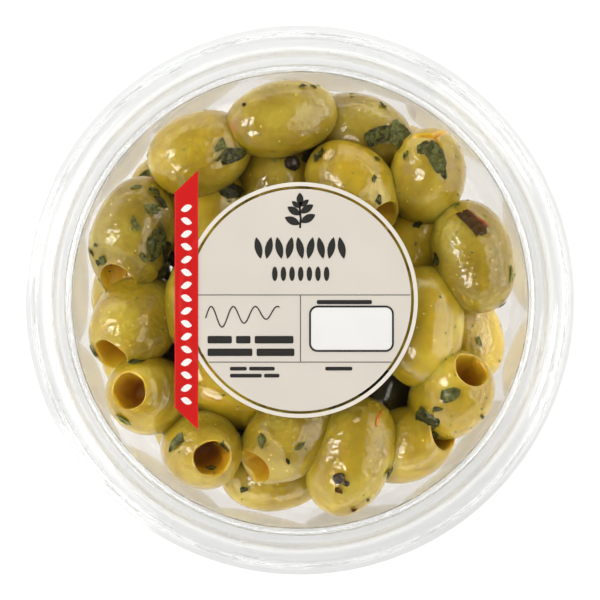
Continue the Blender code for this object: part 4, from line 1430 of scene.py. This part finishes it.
class OLIVETUB_OT_herbs(bpy.types.Operator):
    """Lays the pieces of basil, the pepper and the other spices on the olives"""

    bl_idname = "olivetub.herbs"
    bl_label = "Herbs"

    def execute(self, context):
        settings = context.scene.olive_herbs
        tree = surface_tree("olives_upper", "olives_lower", "heap_core")
        leaf = basil_leaf(settings)
        pieces = [leaf_piece(tree, row, index) for index, row in enumerate(LEAVES)]
        belongs(joined("basil_pieces", pieces, leaf), "olives")
        corn = grained("cracked_black_pepper", "17110B", "3B2C1C", 0.5, 0.5, 0.8, 0.3)
        pieces = [
            lump_piece(tree, x, y, size, size * 0.92, 0, index, CORN_LIFT, 0.28)
            for index, (x, y, size) in enumerate(CORNS)
        ]
        belongs(joined("peppercorns", pieces, corn), "olives")
        red = grained("dried_red_pepper", "2A1C03", "4E3204", 0.9, 0.5, 0.25, 0.4, "8E3804")
        pale = grained("garlic_flesh", "A98E52", "D8C48C", 0.6, 0.5, 0.4, 0.3)
        saffron = grained("orange_spice_thread", "B4560C", "DE8A1E", 0.8, 0.35, 0.8, 0.1)
        peppers, garlic, threads = [], [], []
        for index, (kind, x, y, length, width, direction) in enumerate(SPICES):
            if kind == "dried_pepper":
                row = (x, y, length, width, direction, 5, 0.8, 0.0)
                peppers.append(leaf_piece(tree, row, 70 + index, True))
            elif kind == "garlic":
                garlic.append(lump_piece(tree, x, y, length, width, direction, index, 0.1, 0.7))
            else:
                threads.append(thread_piece(tree, x, y, length, width, direction))
        belongs(joined("pepper_skins", peppers, red), "olives")
        belongs(joined("garlic_bits", garlic, pale), "olives")
        belongs(joined("spice_threads", threads, saffron), "olives")
        return {"FINISHED"}


class OLIVETUB_OT_flecks(bpy.types.Operator):
    """Scatters the small flecks of leaf over the olives"""

    bl_idname = "olivetub.flecks"
    bl_label = "Flecks"

    def execute(self, context):
        settings = context.scene.olive_herbs
        olives = bpy.data.objects.get("olives_upper")
        if olives is None:
            raise RuntimeError("the olives come before the flecks")
        finish = basil_leaf(settings)
        base_leaf = fleck_base(finish)
        base = bpy.data.objects.new("fleck_ground", olives.data.copy())
        context.scene.collection.objects.link(base)
        values = {
            "Density": settings.fleck_density / (10.0 * MM) ** 2, "Size": settings.fleck_size,
            "Seed": settings.seed,
        }
        thing = grown("herb_flecks", base, fleck_tree(finish, base_leaf), values, finish)
        bpy.data.objects.remove(base_leaf, do_unlink=True)
        belongs(thing, "olives")
        return {"FINISHED"}


class OLIVETUB_OT_stage(bpy.types.Operator):
    """Sets the floor, the lights and the camera that looks straight down"""

    bl_idname = "olivetub.stage"
    bl_label = "Stage"

    def execute(self, context):
        scene = context.scene
        settings = scene.olive_studio
        scene.view_settings.view_transform = "Standard"
        corners = [(x * FLOOR_HALF, y * FLOOR_HALF, FLOOR_TOP) for x, y in SQUARE]
        pale = printed_film("pale_floor", settings.floor, 0.7, 1.0)
        floor = mesh_object("floor", corners, [(0, 1, 2, 3)], pale, False)
        glow = floor.data.materials[0].node_tree.nodes["Principled BSDF"]
        glow.inputs["Emission Color"].default_value = grey(1.0)
        glow.inputs["Emission Strength"].default_value = 0.74
        world = bpy.data.worlds.new("white_surround")
        scene.world = world
        world.use_nodes = True
        # The surround is a bright white band at the horizon, which lights the rims of the
        # olives, and dark overhead, so that nothing pale shows in the lid
        tree = world.node_tree
        upwards = add(tree, "ShaderNodeTexCoord").outputs["Generated"]
        height = add(tree, "ShaderNodeSeparateXYZ", {0: upwards}).outputs["Z"]
        stops = [(place, grey(bright)) for place, bright in SKY]
        sky = add(tree, "ShaderNodeValToRGB", {"Fac": height}, stops)
        back = tree.nodes["Background"]
        back.inputs["Strength"].default_value = settings.surround
        tree.links.new(sky.outputs["Color"], back.inputs["Color"])
        # Name, direction it comes from in plan, its height angle, distance, width, height,
        # brightness, and whether it only lights and isn't mirrored
        for name, way, rise, far, wide, high, bright, hidden in (
            ("fill", 120.0, 64.0, 1.6, 1.7, 1.7, settings.fill, True),
            ("softbox", 4.0, 31.0, 1.5, 2.2, 1.7, settings.softbox, False),
            ("window", 222.0, 48.0, 1.5, 0.5, 0.5, settings.window, False),
            ("side_window", 166.0, 40.0, 1.5, 0.45, 0.6, settings.window, False),
        ):
            lamp = bpy.data.lights.new(name, "AREA")
            lamp.shape = "RECTANGLE"
            lamp.size, lamp.size_y = wide, high
            lamp.energy = bright * math.pi * wide * high
            thing = bpy.data.objects.new(name, lamp)
            scene.collection.objects.link(thing)
            direction = Vector(axis_of(way, rise))
            thing.location = direction * far
            thing.rotation_euler = direction.to_track_quat("Z", "Y").to_euler()
            thing.visible_camera = False
            thing.visible_diffuse = hidden
            thing.visible_glossy = not hidden
            thing.visible_transmission = not hidden
        lens = bpy.data.cameras.new("camera")
        lens.sensor_width = SENSOR
        seen = PIXELS * MM_PER_PIXEL
        lens.lens = SENSOR * (CAMERA_HEIGHT - LID_LEVEL) / seen
        lens.clip_start, lens.clip_end = 0.05, 20.0
        camera = bpy.data.objects.new("camera", lens)
        scene.collection.objects.link(camera)
        camera.location = (0.0, 0.0, CAMERA_HEIGHT * MM)
        scene.camera = camera
        return {"FINISHED"}


class OLIVETUB_PT_panel(bpy.types.Panel):
    """Sidebar panel that lists the settings and the operators"""

    bl_label = "Olive tub"
    bl_idname = "OLIVETUB_PT_panel"
    bl_space_type = "VIEW_3D"
    bl_region_type = "UI"
    bl_category = "Olive tub"

    def draw(self, context):
        for title, group, operators in GROUPS:
            box = self.layout.box()
            box.label(text=title)
            settings = getattr(context.scene, group)
            for name in settings.__annotations__:
                box.prop(settings, name)
            for operator in operators:
                box.operator(operator)


GROUPS = (
    ("Tub and lid", "olive_tub", ("olivetub.tub", "olivetub.lid")),
    ("Label and strip", "olive_label", ("olivetub.label", "olivetub.strip")),
    ("Olives", "olive_flesh", ("olivetub.olives",)),
    ("Herbs", "olive_herbs", ("olivetub.herbs", "olivetub.flecks")),
    ("Studio", "olive_studio", ("olivetub.stage",)),
)
SETTINGS = {
    "olive_tub": OliveTubSettings,
    "olive_label": OliveLabelSettings,
    "olive_flesh": OliveFleshSettings,
    "olive_herbs": OliveHerbSettings,
    "olive_studio": OliveStudioSettings,
}
CLASSES = (
    *SETTINGS.values(),
    OLIVETUB_OT_tub,
    OLIVETUB_OT_lid,
    OLIVETUB_OT_label,
    OLIVETUB_OT_strip,
    OLIVETUB_OT_olives,
    OLIVETUB_OT_herbs,
    OLIVETUB_OT_flecks,
    OLIVETUB_OT_stage,
    OLIVETUB_PT_panel,
)


def register():
    for kind in CLASSES:
        bpy.utils.register_class(kind)
    for name, kind in SETTINGS.items():
        setattr(bpy.types.Scene, name, bpy.props.PointerProperty(type=kind))


def unregister():
    for name in SETTINGS:
        delattr(bpy.types.Scene, name)
    for kind in reversed(CLASSES):
        bpy.utils.unregister_class(kind)


def main():
    register()
    for _, _, operators in GROUPS:
        for operator in operators:
            getattr(bpy.ops.olivetub, operator.split(".")[1])()


if __name__ == "__main__":
    main()
